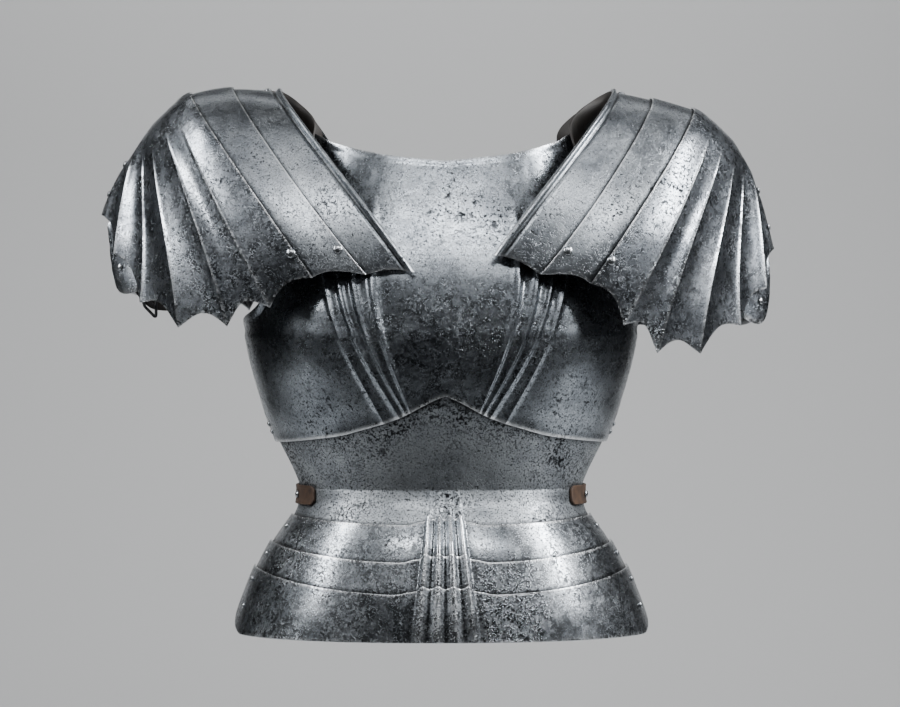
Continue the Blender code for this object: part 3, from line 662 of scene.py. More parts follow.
# Inner faces: unpolished steel, made darker still as painted shade for the inside of the plates.
inside_steel_with_painted_shade = old_steel("unpolished_steel_inside_with_painted_shade", "#4b4c4e", "#333436", "#1b1b1c", 0.05, 0.55, 4.1)
rim_steel = old_steel("worn_edge_steel", "#c8cccf", "#b0b5b9", "#5a5d60", 0.0, 0.24, 0.7)
rivet_steel = old_steel("turned_rivet_steel", "#c0c4c8", "#9a9fa4", "#46484b", 0.0, 0.24, 0.9)
print("steels:", [item.name for item in bpy.data.materials])

# %% [markdown]
# ### Strap leather and blackened iron
#
# The straps are vegetable-tanned cowhide, brown with darker handled places and a fine grain.
# The buckle is forged iron, blackened by heat and oil.

# %% Strap leather and blackened iron
def tanned_leather(name, light, dark):
    material, tree, place = new_material(name)
    handled = ramp(tree, noise(tree, place, 0.012, 5.0, 0.6), 0.35, 0.65)
    grain = noise(tree, place, 0.0009, 4.0, 0.6)
    bump = add_node(tree, "ShaderNodeBump", (("Strength", 0.5), ("Distance", 0.0003)),
                    (("Height", grain),)).outputs["Normal"]
    finish_material(tree, (("Roughness", 0.62),),
                    (("Base Color", blend(tree, handled, light, dark)), ("Normal", bump)))
    return material


def black_iron(name, light, dark):
    material, tree, place = new_material(name)
    scale = ramp(tree, noise(tree, place, 0.003, 5.0, 0.65), 0.4, 0.6)
    finish_material(tree, (("Metallic", 1.0), ("Roughness", 0.48)),
                    (("Base Color", blend(tree, scale, light, dark)),))
    return material


leather = tanned_leather("tanned_strap_leather", "#4f3b2c", "#2c2019")
dark_leather = tanned_leather("blackened_strap_leather", "#1d1815", "#100d0b")
iron = black_iron("blackened_forged_iron", "#4b4c4e", "#232325")
print("materials:", len(bpy.data.materials))

# %% [markdown]
# ## Breastplate
#
# The breastplate has a fan of narrow flutes on each side, raised with a hammer from inside.
# They start at its lower edge close to the middle and spread towards the chest, where they
# fade. Its lower edge rises to a peak, its arm edges turn outwards to a narrow flange, and its
# neck edge has a small roll.

# %% Breastplate
def plate(node, grids, finish, body):
    """A steel plate in the place of its solid, bright at the rim and dull inside, where the dark inner
    steel is partly painted shade.
    """
    item = shell(f"{node}_steel", grids, (finish, rim_steel, inside_steel_with_painted_shade), PLATE, PLATE_EDGE)
    carry(item, node, body)


def mirrored(lines):
    """Half a table of lines, made whole: each row with its side, -1 or 1, from right to left."""
    return [(-1, row) for row in reversed(lines[1:])] + [(1, row) for row in lines]

def top_edge(way, neck_height):
    share, rise = table_at(TOP_ROWS, way)
    if rise >= 0:
        return share, neck_height + rise * (TIP_HEIGHT - neck_height)
    return share, neck_height + rise * (neck_height - ARM_HEIGHT)

def breast_point(side, line, way):
    """A point of the breastplate's outer face, on one of its lines."""
    below, middle, edge, relief = line
    edge_share, edge_height = top_edge(edge, NECK_HEIGHT)
    bottom = seam_height(below)
    share = below * (1 - way) * (1 - 2 * way) + 4 * middle * way * (1 - way)
    share += edge_share * way * (2 * way - 1)
    height = bottom + (edge_height - bottom) * way
    lift = BREAST_LAYER * LAYER + CHEST_RELIEF * relief * table_at(CHEST_RISE, way)[0]
    if edge > ARM_EDGE_START:
        along = (edge - ARM_EDGE_START) / (1 - ARM_EDGE_START)
        opened = smooth(2 * along) * (1 - (1 - ARM_FLANGE_SIDE) * smooth(2 * along - 1))
        lift += ARM_FLANGE * opened * smooth((way - ARM_FLANGE_START) / (1 - ARM_FLANGE_START))
    return on_torso(side * share * SIDE, height, lift)

def lines_between(rows, count, sharpness=1.8):
    """More lines between the lines of a table, with their relief rounded."""
    lines = []
    for low, high in zip(rows, rows[1:]):
        for share in steps(0, 1, count)[:-1]:
            lines.append(tuple(a + (b - a) * share for a, b in zip(low, high)))
    lines.append(rows[-1])
    return [line[:-1] + (smooth(line[-1]) ** sharpness,) for line in lines]


NECK_ROLL = 0.0006
LOWER_LIP = 0.0007
# How far the painted brightness of worn, lit edges reaches, and how far painted shade reaches from an
# overlapping edge.
EDGE_WEAR_AND_HIGHLIGHT = 0.0022
PAINTED_SHADE_REACH = 0.0045
FLUTE_SHARPNESS = 3.0


def breast_fine(side, line, way):
    point = breast_point(side, line, way)
    if line[2] < ARM_EDGE_START:
        normal = torso_normal(side * line[1] * SIDE, point.z)
        point = point + normal * NECK_ROLL * smooth((way - 0.972) / 0.02)
    above = point.z - seam_height(line[0])
    normal = torso_normal(side * line[0] * SIDE, point.z)
    point = point + normal * LOWER_LIP * near(above, 3 * EDGE_WEAR_AND_HIGHLIGHT)
    # Both edges are painted brighter, partly for wear and partly as a painted highlight.
    return point, 0.8 * near(above, EDGE_WEAR_AND_HIGHLIGHT) + 0.6 * near(1 - way, 0.008), 0.0


levels = edged(0, 0.95, 24 * DENSITY, 0.02) + steps(0.955, 1.0, 5 * DENSITY)
columns = mirrored(lines_between(CHEST_LINES, 3 * DENSITY, FLUTE_SHARPNESS))
net = [[breast_fine(side, line, way) for way in levels] for side, line in columns]
plate("breastplate", [net], breast_steel, "body")
print("breastplate:", len(net), "columns of", len(levels), "points")

# %% [markdown]
# ## Plackart and fauld
#
# The plackart covers the waist and tucks under the breastplate. The fauld's hoops hang below
# it, each outside the one above. Down the middle of all of them runs a band of ribs that fans
# out towards the hem, and the upper edge of each hoop rises over that band.

# %% Plackart and fauld
def front_angle(line, height):
    kind, share, _ = line
    spread = 1 + BAND_SPREAD * (1 - height / FAULD_HEIGHT)
    edge = angle_at(BAND_WIDTH / 2 * spread, height)
    if kind == "band":
        return angle_at(BAND_WIDTH / 2 * spread * share, height)
    return edge + (SIDE - edge) * share


def front_point(side, line, height, layer):
    """A point of the outer face of the plackart or a lame, with the ribs of the band."""
    ribs = smooth((RIB_START - height) / (RIB_START - RIB_FULL))
    lift = layer * LAYER + RIB_HEIGHT * line[2] * ribs
    return on_torso(side * front_angle(line, height), height, lift)

def front_lines():
    """Lines down the plates: the ribbed band, then the flanks."""
    band = [("band",) + row for row in lines_between(BAND_LINES, 4 * DENSITY)]
    return band + [("flank", share, 0.0) for share in steps(0.02, 1, 24 * DENSITY)]


def lame_top(index, line):
    """Height of a lame's upper edge: lower in front, raised over the fluted band."""
    _, at_side, in_front, _ = LAMES[index]
    kind, share, relief = line
    turn = 0.0 if kind == "band" else share
    height = FAULD_HEIGHT * (in_front + (at_side - in_front) * smooth(turn))
    if kind == "band":
        return height + BAND_RISE * (0.75 + 0.25 * relief) * (1 - 0.4 * smooth(share * 4 - 3))
    return height + BAND_RISE * 0.45 * (1 - smooth(share / 0.06))


def lame_bottom(index, line):
    if index + 1 < len(LAMES):
        return lame_top(index + 1, line) - UNDERLAP * LAMES[index][3]
    kind, share, _ = line
    turn = 0.0 if kind == "band" else share
    return HEM_CORNER * max(0.0, (turn - HEM_CORNER_START) / (1 - HEM_CORNER_START)) ** 2


PLACKART_RIBS = 0.6
HOOP_RIBS = 1.3
# Rib crests are painted brighter, partly wear and partly a painted highlight, and the valleys between ribs
# get painted shade.
RIB_WEAR_AND_HIGHLIGHT = 0.35
RIB_PAINTED_SHADE = 0.45


def plackart_place(side, line, height):
    """Ribs are lower here than on the hoops. Painted shade darkens the plate just under the breastplate's
    edge and just above the upper hoop.
    """
    kind, share, relief = line
    seam = seam_height(front_angle(line, SEAM_HEIGHT) / SIDE)
    painted_shade = near(seam - height, PAINTED_SHADE_REACH) + near(height - lame_top(0, line), PAINTED_SHADE_REACH)
    point = front_point(side, (kind, share, relief * PLACKART_RIBS), height, 0)
    return point, 0.0, min(painted_shade, 1.0) * 0.9


lines = mirrored(front_lines())
net = []
for side, line in lines:
    seam = seam_height(front_angle(line, SEAM_HEIGHT) / SIDE)
    levels = steps(PLACKART_BOTTOM, seam - 0.006, 40 * DENSITY)
    levels += [seam - 0.003, seam, seam + UNDERLAP]
    net.append([plackart_place(side, line, height) for height in levels])
plate("plackart", [net], waist_steel, "body")


def lame_levels(index, line):
    bottom, top = lame_bottom(index, line), lame_top(index, line)
    if index + 1 < len(LAMES):
        seen = lame_top(index + 1, line)
        return [bottom, seen] + edged(seen + 0.001, top, 12 * DENSITY, 0.004)
    return edged(bottom, top, 20 * DENSITY, 0.004)


def lame_place(side, line, height, index):
    """A hoop's upper edge is painted brighter, partly wear and partly a painted highlight. Rib crests are
    painted brighter and the valleys between them get painted shade, and painted shade lies just above the
    edge of the hoop below.
    """
    kind, share, relief = line
    wear_and_highlight = 0.8 * near(lame_top(index, line) - height, EDGE_WEAR_AND_HIGHLIGHT)
    painted_shade = 0.0
    if kind == "band":
        wear_and_highlight = max(wear_and_highlight, RIB_WEAR_AND_HIGHLIGHT * relief ** 2)
        painted_shade = RIB_PAINTED_SHADE * (1 - relief) ** 2
        line = (kind, share, relief * HOOP_RIBS)
    if index + 1 < len(LAMES):
        painted_shade = max(painted_shade, 0.9 * near(height - lame_top(index + 1, line), PAINTED_SHADE_REACH))
    else:
        wear_and_highlight = max(wear_and_highlight, 0.5 * near(height - lame_bottom(index, line), EDGE_WEAR_AND_HIGHLIGHT))
    return front_point(side, line, height, index + 1), wear_and_highlight, painted_shade


FAULD_BODIES = ("upper_fauld", "middle_fauld", "lower_fauld")
for index, (name, *_) in enumerate(LAMES):
    net = []
    for side, line in lines:
        net.append([lame_place(side, line, height, index) for height in lame_levels(index, line)])
    plate(name, [net], hoop_steel, FAULD_BODIES[index])
print("plackart and lames:", len(lines), "columns each")

# %% [markdown]
# ## Backplate
#
# Nothing of the back shows from the front, so it is one plain plate that closes the cuirass
# and carries the ends of the straps.

# %% Backplate
def back_fine(column):
    turn = 1 - 2 * column
    edge_share, edge_height = top_edge(abs(turn), BACK_NECK_HEIGHT)
    points = []
    for height in steps(BACK_BOTTOM, edge_height, 40 * DENSITY):
        way = max(0.0, (height - WAIST_HEIGHT) / (edge_height - WAIST_HEIGHT))
        share = abs(turn) * BACK_EDGE * (1 - way) * (1 - 2 * way)
        share += 4 * table_at(BACK_MIDDLES, abs(turn))[0] * way * (1 - way)
        share += min(edge_share, BACK_EDGE) * way * (2 * way - 1)
        points.append((on_torso(math.pi - math.copysign(share * SIDE, turn), height, -LAYER),))
    return points


net = [back_fine(column) for column in steps(0, 1, 50 * DENSITY)]
plate("backplate", [net], breast_steel, "body")
print("backplate:", len(net), "columns")

# %% [markdown]
# ## Spaulders
#
# Each spaulder has a neck plate with a rolled edge, a narrow second lame and a large fan plate
# over the shoulder's point. The fan's ridges run out to the points of its scalloped edge, and
# the panels between them are hollowed. A small arm lame goes on below it.

# %% The form of a spaulder
def spaulder_form(name, station, fall):
    """A point of a spaulder's bare form, its front half, with the arm at +X."""
    forward, lean, rise = table_at(SPAULDER_FORM, station)
    crest_out, crest_drop, edge_out, edge_drop = table_at(SPAULDER_LINES[name], station)
    crest = Vector((crest_out * SHOULDER_REACH, 0, CREST_HEIGHT - crest_drop * SHOULDER_DROP))
    edge = Vector((edge_out * SHOULDER_REACH, -forward * SHOULDER_DEPTH,
                   CREST_HEIGHT - edge_drop * SHOULDER_DROP))
    leave = crest + Vector((CREST_LEAN * forward * SHOULDER_REACH, CREST_FULLNESS * edge.y, 0))
    arrive = edge + Vector((lean * SHOULDER_REACH, 0.02 * edge.y, rise * SHOULDER_DROP))
    rest = 1 - fall
    return (crest * rest ** 3 + leave * 3 * rest ** 2 * fall
            + arrive * 3 * rest * fall ** 2 + edge * fall ** 3)


def scallop(station):
    """How far the lower edge is cut back between two points of it."""
    panel = min(int(station), len(SCALLOPS) - 1)
    return SCALLOPS[panel] * math.sin(math.pi * (station - panel))


def hollow(station, fall):
    """Depth of the hollow between two ridges of the fan plate."""
    if station <= FIRST_RIDGE:
        return 0.0
    panel = station - int(min(station, LAST_STATION - 0.001))
    opened = smooth((fall - FLUTE_START) / (1 - FLUTE_START) * 1.3)
    return FLUTE_DEPTH * opened * math.sin(math.pi * panel)


def on_spaulder(name, station, fall, front, lift):
    """A point on a spaulder: front is 1 or -1, lift is measured out from the bare form."""
    step = 0.004
    point = spaulder_form(name, station, fall)
    along = (spaulder_form(name, min(station + step, LAST_STATION), fall)
             - spaulder_form(name, max(station - step, 0), fall))
    down = spaulder_form(name, station, fall + step) - spaulder_form(name, station, fall - step)
    normal = down.cross(along)
    if fall == 0 or station >= LAST_STATION:
        normal.y = 0
    point = point + normal.normalized() * lift
    if front < 0:
        turned = BACK_TURN * smooth(-point.y / BACK_TURN_DEPTH)
        point = Vector((point.x - turned, -BACK_SHARE * point.y, point.z))
    side = -1 if name == "right" else 1
    return Vector((side * point.x, point.y, point.z))


def spaulder_normal(name, station, fall, front):
    return (on_spaulder(name, station, fall, front, 0.001)
            - on_spaulder(name, station, fall, front, 0.0)).normalized()

BEAD_WIDTH = 0.12
GROOVE_DEPTH = 0.0008
PANEL_SHARE = 0.70
RIDGE_RISE = 0.0006
BACK_REACH = 0.94


def bead(station):
    """The rolled neck edge and the narrow groove beside it."""
    if station < BEAD_WIDTH:
        return BEAD_RISE * math.sin(math.pi * station / BEAD_WIDTH) ** 0.7
    share = (station - BEAD_WIDTH) / BEAD_WIDTH
    return -GROOVE_DEPTH * math.sin(math.pi * min(share, 1.0)) ** 2


def fan_lift(fall):
    """The room that the fan plate needs near its pivots to turn over the second lame."""
    return FAN_PLAY * smooth(fall / 0.6)


def arm_lame_point(name, station, fall, front, lift):
    """A point of the arm lame, which goes on under the end of the fan plate and flares."""
    end = table_at(ARM_LAME_ENDS, station)[0]
    reach = ARM_LAME_TOP + (end - ARM_LAME_TOP) * fall
    flare = ARM_LAME_FLARE * smooth((fall - 0.35) / 0.65) * smooth((station - 6) / 1.5)
    return on_spaulder(name, station, reach, front, flare - ARM_LAME_SINK + lift)


def spaulder_grids(name, stations, falls, place):
    """Both halves of a spaulder plate, front and back, which meet along the crest."""
    grids = []
    for front in (1, -1):
        grid = [[place(station, fall, front) for fall in reversed(falls)] for station in stations]
        outward_left = (name == "right") == (front == 1)
        grids.append(grid[::-1] if outward_left else grid)
    return grids


# %% Neck plates, second lames, fan plates and arm lames
def make_spaulder(name):
    falls = steps(0, 0.96, 28 * DENSITY) + [0.97, 0.98, 0.99, 1.0]

    def neck_point(station, fall, front):
        point = on_spaulder(name, station, fall * (1 - scallop(station)), front, bead(station))
        # The rolled edge and lower edge are painted brighter, partly wear and partly a painted highlight;
        # painted shade lies in the groove and under the second lame's edge.
        worn_and_highlit = 0.5 * near(station, 0.04) + 0.6 * near(1 - fall, 0.012)
        painted_shade = near(abs(station - 1.4 * BEAD_WIDTH), 0.05) + near(1 - station, 0.10)
        return point, worn_and_highlit, 0.85 * min(painted_shade, 1.0) * near(fall - 0.97, 0.03)

    def second_point(station, fall, front):
        point = on_spaulder(name, station, fall * (1 - scallop(station)), front, LAYER)
        # Edges painted brighter, partly wear and partly a painted highlight; painted shade lies under the
        # fan plate's edge.
        worn_and_highlit = 0.9 * near(station - 1, 0.05) + 0.6 * near(1 - fall, 0.012)
        return point, worn_and_highlit, 0.85 * near(2 - station, 0.10)

    def fan_point(station, fall, front):
        reach = 1 - scallop(station)
        if front < 0:
            reach *= BACK_REACH
        lift = 2 * LAYER + fan_lift(fall * reach) - PANEL_SHARE * hollow(station, fall)
        point = on_spaulder(name, station, fall * reach, front, lift)
        ridge = near(abs(station - round(station)), 0.07) if station > 2.5 else 0.0
        opened = smooth((fall - FLUTE_START) * 4)
        point = point + spaulder_normal(name, station, fall * reach, front) * RIDGE_RISE * ridge * opened
        # The fan's edges and ridges are painted brighter, partly wear and partly a painted highlight.
        worn_and_highlit = 0.9 * near(station - 2, 0.05) + 0.6 * near(1 - fall, 0.012)
        return point, min(worn_and_highlit + 0.35 * ridge * opened, 1.0), 0.0

    def arm_point(station, fall, front):
        # The lower edge is painted brighter, partly wear and partly a painted highlight.
        return arm_lame_point(name, station, fall, front, 0), 0.7 * near(1 - fall, 0.08), 0.0

    count = 6 * DENSITY
    neck_stations = steps(0, 2 * BEAD_WIDTH, 8 * DENSITY) + edged(2.2 * BEAD_WIDTH, 1, count, 0.05)
    plates = (
        ("neck_plate", "body", neck_steel,
         neck_stations + steps(1, 1 + PLATE_UNDERLAP, count // 2)[1:], falls, neck_point),
        ("second_lame", f"{name}_lame", neck_steel,
         edged(1, 2, count, 0.05) + steps(2, 2 + PLATE_UNDERLAP, count // 2)[1:], falls,
         second_point),
        ("fan_plate", f"{name}_fan", fan_steel,
         edged(2, 3, count, 0.05)[:-1] + steps(3, LAST_STATION, 40 * DENSITY), falls, fan_point),
        ("arm_lame", f"{name}_fan", fan_steel, steps(ARM_LAME_START, LAST_STATION, 2 * count),
         steps(0, 1, 12), arm_point),
    )
    for word, body, finish, stations, downs, place in plates:
        plate(f"{name}_{word}", spaulder_grids(name, stations, downs, place), finish, body)


for _, word in SIDES:
    make_spaulder(word)

# %% [markdown]
# ## Rivets
#
# A rivet is a soft iron pin whose head is domed in a die. Pivot rivets go through two plates
# and are hammered over inside against a burr, and the plates turn on them. Heads and inner
# ends are drawn. The pin between them is hidden in its holes.

# %% Rivets
def rivet_mesh(name, head, pivot):
    rise = head * HEAD_RISE
    profiles = [[(head * math.sin(turn), SEAT + rise * math.cos(turn))
                 for turn in steps(0, math.pi / 2, 6)] + [(head * 0.98, SEAT * 0.5), (0.0, SEAT * 0.5)]]
    if pivot:
        peen = -(LAYER + PLATE + PEEN_PLAY)
        profiles.append([(0.0, peen), (PEEN_RADIUS, peen), (PEEN_RADIUS * 0.7, peen - PEEN_THICKNESS),
                         (0.0, peen - PEEN_THICKNESS * 1.3)])
    work = bmesh.new()
    for profile in profiles:
        verts = [work.verts.new((out, 0, up)) for out, up in profile]
        edges = [work.edges.new(pair) for pair in zip(verts, verts[1:])]
        bmesh.ops.spin(work, geom=verts + edges, cent=(0, 0, 0), axis=(0, 0, 1),
                       angle=2 * math.pi, steps=20, use_merge=True)
    bmesh.ops.remove_doubles(work, verts=work.verts, dist=MERGE / 10)
    bmesh.ops.recalc_face_normals(work, faces=work.faces)
    mesh = bpy.data.meshes.new(name)
    work.to_mesh(mesh)
    work.free()
    mesh.shade_smooth()
    mesh.set_sharp_from_angle(angle=math.radians(40))
    mesh.materials.append(rivet_steel)
    return mesh


RIVET_MESHES = {
    "spaulder": rivet_mesh("spaulder_rivet", SPAULDER_HEAD, True),
    "fauld": rivet_mesh("fauld_rivet", FAULD_HEAD, True),
    "hem": rivet_mesh("hem_rivet", FAULD_HEAD, False),
    "plain": rivet_mesh("plain_rivet", PLAIN_HEAD, False),
    "small": rivet_mesh("small_rivet", SMALL_HEAD, False),
}


def add_rivet(node, kind, place, body):
    point, normal = place
    item = bpy.data.objects.new(f"{node}_head", RIVET_MESHES[kind])
    bpy.context.scene.collection.objects.link(item)
    turn = normal.to_track_quat("Z", "Y").to_matrix().to_4x4()
    item.matrix_world = Matrix.Translation(point - Vector((0, 0, SEAT_HEIGHT))) @ turn
    return carry(item, node, body)


def torso_place(angle, height, lift):
    return on_torso(angle, height, lift), torso_normal(angle, height)


def spaulder_place(name, station, fall, front, lift):
    return (on_spaulder(name, station, fall, front, lift),
            spaulder_normal(name, station, fall, front))


def fauld_rivets(side, word):
    for index, (name, *_) in enumerate(LAMES):
        height = lame_top(index, ("flank", LAME_RIVET_SIDE, 0.0)) - RIVET_DROP
        place = torso_place(side * LAME_RIVET_SIDE * SIDE, height, (index + 1) * LAYER)
        body = "body" if index == 0 else FAULD_BODIES[index - 1]
        add_rivet(f"{word}_rivet_{name}", "fauld", place, body)
    place = torso_place(side * HEM_RIVET[0] * SIDE, HEM_RIVET[1], len(LAMES) * LAYER)
    add_rivet(f"{word}_rivet_hem", "hem", place, "lower_fauld")
    for height, level in zip(SIDE_RIVETS, ("upper", "lower")):
        place = torso_place(side * SIDE_RIVET_SIDE * SIDE, height, BREAST_LAYER * LAYER)
        add_rivet(f"{word}_{level}_rivet_breast", "small", place, "body")


def spaulder_rivets(word):
    for joint, plate, body in ((1, "second_lame", "body"), (2, "fan_plate", f"{word}_lame")):
        for front, end in ((1, "front"), (-1, "back")):
            station = joint + RIVET_STATIONS[joint - 1]
            lift = joint * LAYER + (fan_lift(RIVET_FALL) if joint == 2 else 0)
            place = spaulder_place(word, station, RIVET_FALL, front, lift)
            add_rivet(f"{word}_{end}_rivet_{plate}", "spaulder", place, body)
    place = spaulder_place(word, SHOULDER_STRAP_STATION, 0, 1, 0)
    add_rivet(f"{word}_rivet_shoulder_top", "plain", place, "body")
    for fall, level in ((0.30, "upper"), (0.72, "lower")):
        place = spaulder_place(word, LAST_STATION, fall, 1, 2 * LAYER + fan_lift(fall))
        add_rivet(f"{word}_{level}_rivet_arm", "plain", place, f"{word}_fan")


for side, word in SIDES:
    fauld_rivets(side, word)
    spaulder_rivets(word)

# %% [markdown]
# ## Straps and buckles
#
# The straps are cut from one thickness of leather, with edges rubbed round. A waist strap comes
# round from the back and ends in a narrow tab in front of the hip. The shoulder strap joins
# breast and back and carries the spaulder. The arm strap closes round the upper arm.

# %% Straps and buckles
LEATHER_EDGE = 0.0006


def strap(node, lines, body):
    """A leather band between lines along its outer face, the lower edge first."""
    net = [[(point,) for point in column] for column in zip(*lines)]
    finish = leather if "waist" in node else dark_leather
    item = shell(f"{node}_leather", [net], (finish,), LEATHER, LEATHER_EDGE)
    return carry(item, node, body)


def finer(path, count):
    """A smooth curve through points that each carry a direction across."""
    rows = [(index, *point, *across) for index, (point, across) in enumerate(path)]
    fine = []
    for place in steps(0, len(path) - 1, (len(path) - 1) * count):
        values = table_at(rows, place)
        fine.append((Vector(values[:3]), Vector(values[3:]).normalized()))
    return fine


def band(path, width):
    """Three lines along a path: its two edges and its middle."""
    return [[point + across * width / 2 * sign for point, across in path] for sign in (-1, 0, 1)]


for side, word in SIDES:
    first, last = WAIST_STRAP_LINES[0][0], WAIST_STRAP_LINES[-1][0]
    edges = ([], [], [], [], [])
    for share in steps(first, last, 60)[::side]:
        width = min(table_at(WAIST_STRAP_LINES, share)[0], 1.0)
        lift = STRAP_SEAT + LEATHER - LAYER * smooth((share - 1) / 0.1)
        for edge, sign in zip(edges, (-1, -0.5, 0, 0.5, 1)):
            height = WAIST_STRAP_HEIGHT + sign * WAIST_STRAP_WIDTH / 2 * width
            edge.append(on_torso(side * share * SIDE, height, lift))
    strap(f"{word}_waist_strap", edges, "body")
    place = torso_place(side * WAIST_RIVET * SIDE, WAIST_STRAP_HEIGHT, 2 * STRAP_SEAT + LEATHER)
    add_rivet(f"{word}_rivet_waist", "plain", place, "body")


def shoulder_end(side, front, drop):
    turn = SHOULDER_STRAP_SIDE * SIDE
    lift = (BREAST_LAYER * LAYER if front > 0 else -LAYER) + STRAP_SEAT + LEATHER
    return torso_place(side * (turn if front > 0 else math.pi - turn), TIP_HEIGHT - drop, lift)


def shoulder_path(side, word):
    """From the front shoulder tip up under the spaulder's crest and down to the back's tip."""
    def crest(station):
        return on_spaulder(word, station, 0, 1, -PLATE - STRAP_SEAT)
    top = crest(SHOULDER_STRAP_STATION)
    across_top = crest(SHOULDER_STRAP_STATION + 0.1) - crest(SHOULDER_STRAP_STATION - 0.1)
    across_top = across_top.normalized() * side
    path = []
    for front in (1, -1):
        start, normal = shoulder_end(side, front, 0.002)
        end, _ = shoulder_end(side, front, SHOULDER_STRAP_LAP)
        up = (start - end).normalized()
        across_end = up.cross(normal).normalized() * front
        reach = top + Vector((0, -front * SHOULDER_STRAP_REACH, 0))
        leave = start + up * SHOULDER_STRAP_REACH
        half = [(end, across_end)]
        for share in steps(0, 1, 5):
            rest = 1 - share
            point = (start * rest ** 3 + leave * 3 * rest ** 2 * share
                     + reach * 3 * rest * share ** 2 + top * share ** 3)
            half.append((point, across_end.lerp(across_top, share).normalized()))
        path += half if front > 0 else half[-2::-1]
    return path


for side, word in SIDES:
    strap(f"{word}_shoulder_strap", band(finer(shoulder_path(side, word), 6), SHOULDER_STRAP_WIDTH),
          "body")
    for front, end in ((1, "front"), (-1, "back")):
        place = shoulder_end(side, front, SHOULDER_STRAP_LAP * 0.6)
        add_rivet(f"{word}_{end}_rivet_shoulder", "plain", place, "body")


# %% Arm straps and their buckles
def arm_path(side, word):
    """From the front of the arm lame round the inner side of the arm to its back."""
    ends = {}
    for front, end_word in ((1, "front"), (-1, "back")):
        def lame(station, fall):
            return arm_lame_point(word, station, fall, front, 0)
        outer = lame(ARM_STRAP_STATION, ARM_STRAP_FALL)
        up = (lame(ARM_STRAP_STATION, ARM_STRAP_FALL - 0.2)
              - lame(ARM_STRAP_STATION, ARM_STRAP_FALL + 0.2)).normalized()
        along = lame(ARM_STRAP_STATION + 0.1, ARM_STRAP_FALL) - outer
        normal = along.cross(up).normalized() * side * front
        ends[front] = (outer - normal * (PLATE + 3 * STRAP_SEAT), up)
        add_rivet(f"{word}_{end_word}_rivet_arm_strap", "plain",
                  (outer + normal * STRAP_SEAT, normal), f"{word}_fan")
    start = ends[1][0]
    path = [ends[1]]
    for front, rows in ((1, ARM_STRAP_ROUTE), (-1, ARM_STRAP_ROUTE[-2::-1])):
        for inward, forward, hang in rows:
            shift = BACK_TURN if front < 0 else 0
            point = Vector((start.x - side * (inward * ARM_STRAP_SPAN + shift),
                            -front * forward * ARM_STRAP_DEPTH,
                            start.z - hang * ARM_STRAP_HANG[word]))
            path.append((point, Vector((0, 0, 1))))
    path.append(ends[-1])
    return path[::-1] if side > 0 else path


def tube(name, points, radius, closed):
    curve = bpy.data.curves.new(name, "CURVE")
    curve.dimensions = "3D"
    curve.bevel_depth = radius
    curve.bevel_resolution = 3
    curve.use_fill_caps = not closed
    line = curve.splines.new("POLY")
    line.points.add(len(points) - 1)
    for target, point in zip(line.points, points):
        target.co = (point.x, point.y, point.z - SEAT_HEIGHT, 1)
    line.use_cyclic_u = closed
    curve.materials.append(iron)
    item = bpy.data.objects.new(name, curve)
    bpy.context.scene.collection.objects.link(item)
    return item


def make_buckle(word, side, first, second):
    """A closed frame with round corners and a tongue across it."""
    along = (second - first).normalized()
    up = Vector((0, 0, 1))
    outward = (along.cross(up) * -side).normalized()
    centre = first.lerp(second, BUCKLE_SHARE) + outward * (SEAT + BUCKLE_WIRE)
    half_length, half_height, corner = BUCKLE_LENGTH / 2, BUCKLE_HEIGHT / 2, 0.003
    points = []
    for quarter, (right, top) in enumerate(((1, 1), (-1, 1), (-1, -1), (1, -1))):
        for share in steps(0, 1, 4):
            turn = (quarter + share) * math.pi / 2
            points.append(centre + along * (right * (half_length - corner) + corner * math.cos(turn))
                          + up * (top * (half_height - corner) + corner * math.sin(turn)))
    carry(tube(f"{word}_arm_buckle_frame", points, BUCKLE_WIRE, True), f"{word}_arm_buckle",
          f"{word}_fan")
    tongue = [centre + along * half_length * share + outward * BUCKLE_WIRE * (1.6 - share ** 2)
              for share in steps(-0.95, 1.0, 8)]
    item = tube(f"{word}_arm_buckle_tongue", tongue, BUCKLE_WIRE * 0.6, False)
    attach(item, f"{word}_fan")


for side, word in SIDES:
    path = arm_path(side, word)
    strap(f"{word}_arm_strap", band(finer(path, 6), ARM_STRAP_WIDTH), f"{word}_fan")
    at = (1, 2) if side < 0 else (-2, -3)
    make_buckle(word, side, path[at[0]][0], path[at[1]][0])

# %% [markdown]
# ## Floor, light and camera
#
# A pale sweep stands below and behind. The light is that of a photographer who wants polished
# steel to read: a broad soft panel in front and above, a weak one overhead, two leaning strips
# at the sides that draw long highlights down the fauld, one that lights the sweep, and a dim
# surround that keeps the rest dark.

# %% Floor and backdrop
FLOOR_DROP = 0.72
SWEEP_RADIUS = 0.8
SWEEP_FRONT = 0.4
SWEEP_DEPTH = 1.9
SWEEP_WIDTH = 1.2
SWEEP_TOP = 1.5

pale, tree, place = new_material("painted_pale_sweep")
finish_material(tree, (("Roughness", 0.9), ("Base Color", linear("#b9babb"))), ())
profile = [(-SWEEP_FRONT, 0.0)]
for turn in steps(0, math.pi / 2, 16):
    profile.append((SWEEP_DEPTH - SWEEP_RADIUS + SWEEP_RADIUS * math.sin(turn),
                    SWEEP_RADIUS * (1 - math.cos(turn))))
profile.append((SWEEP_DEPTH, SWEEP_TOP))
work = bmesh.new()
rows = [[work.verts.new((x, y, z - FLOOR_DROP + SEAT_HEIGHT)) for y, z in profile]
        for x in (-SWEEP_WIDTH, SWEEP_WIDTH)]
for index in range(len(profile) - 1):
    work.faces.new((rows[0][index], rows[1][index], rows[1][index + 1], rows[0][index + 1]))
sweep = mesh_object("sweep", work, (pale,), 60)
print("sweep:", len(profile), "rows")

# %% Light
CENTRE = Vector((0.0084, 0.0, -0.231))


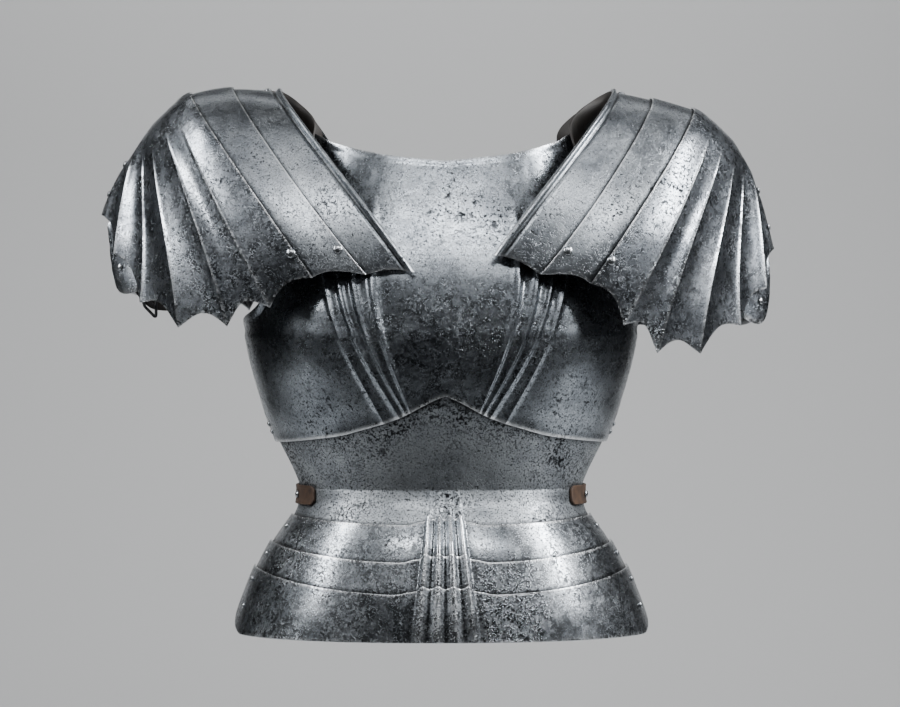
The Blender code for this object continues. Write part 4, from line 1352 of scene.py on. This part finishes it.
def soft_panel(name, low, high, width, aim, power):
    """A panel between the middles of its lower and upper edges, that faces the aim."""
    low, high = Vector(low), Vector(high)
    middle = (low + high) / 2
    along = (high - low).normalized()
    away = middle - Vector(aim)
    away = (away - along * away.dot(along)).normalized()
    light = bpy.data.lights.new(name, "AREA")
    light.shape = "RECTANGLE"
    light.size, light.size_y = width, (high - low).length
    light.energy = power
    item = bpy.data.objects.new(name, light)
    bpy.context.scene.collection.objects.link(item)
    turn = Matrix((along.cross(away), along, away)).transposed().to_4x4()
    item.matrix_world = Matrix.Translation(middle) @ turn
    print(f"{name}: {width} x {light.size_y:.2f} m, {power} W")
    return item


soft_panel("panel_above", (0.1, -1.62, 0.97), (0.1, -1.32, 1.27), 1.6, CENTRE, 26.0)
soft_panel("panel_top", (0, -0.85, 1.45), (0, -0.35, 1.60), 1.3, CENTRE, 4.0)
soft_panel("panel_right", (-1.33, -0.72, 0.18), (-0.97, -0.10, 0.88), 0.20, CENTRE, 20.0)
soft_panel("panel_left", (1.33, -0.72, 0.18), (0.97, -0.10, 0.88), 0.24, CENTRE, 42.0)
soft_panel("panel_sweep", (0, 0.85, 1.2), (0, 1.15, 1.45), 2.0, (0, 1.9, -0.3), 16.0)

world = bpy.data.worlds.new("dim_studio")
bpy.context.scene.world = world
world.use_nodes = True
world.node_tree.nodes["Background"].inputs["Color"].default_value = linear("#8a8c90")
world.node_tree.nodes["Background"].inputs["Strength"].default_value = 0.06

# %% Camera
VIEW_AZIMUTH = math.radians(-1.7)
VIEW_DISTANCE = 3.2

camera_data = bpy.data.cameras.new("camera")
camera_data.lens = 137.6
camera_data.sensor_width = 36.0
camera = bpy.data.objects.new("camera", camera_data)
bpy.context.scene.collection.objects.link(camera)
back = Vector((math.sin(VIEW_AZIMUTH), -math.cos(VIEW_AZIMUTH), 0.0))
camera.location = CENTRE + back * VIEW_DISTANCE
camera.rotation_euler = (-back).to_track_quat("-Z", "Y").to_euler()
bpy.context.scene.camera = camera
print("camera at", [round(value, 3) for value in camera.location])
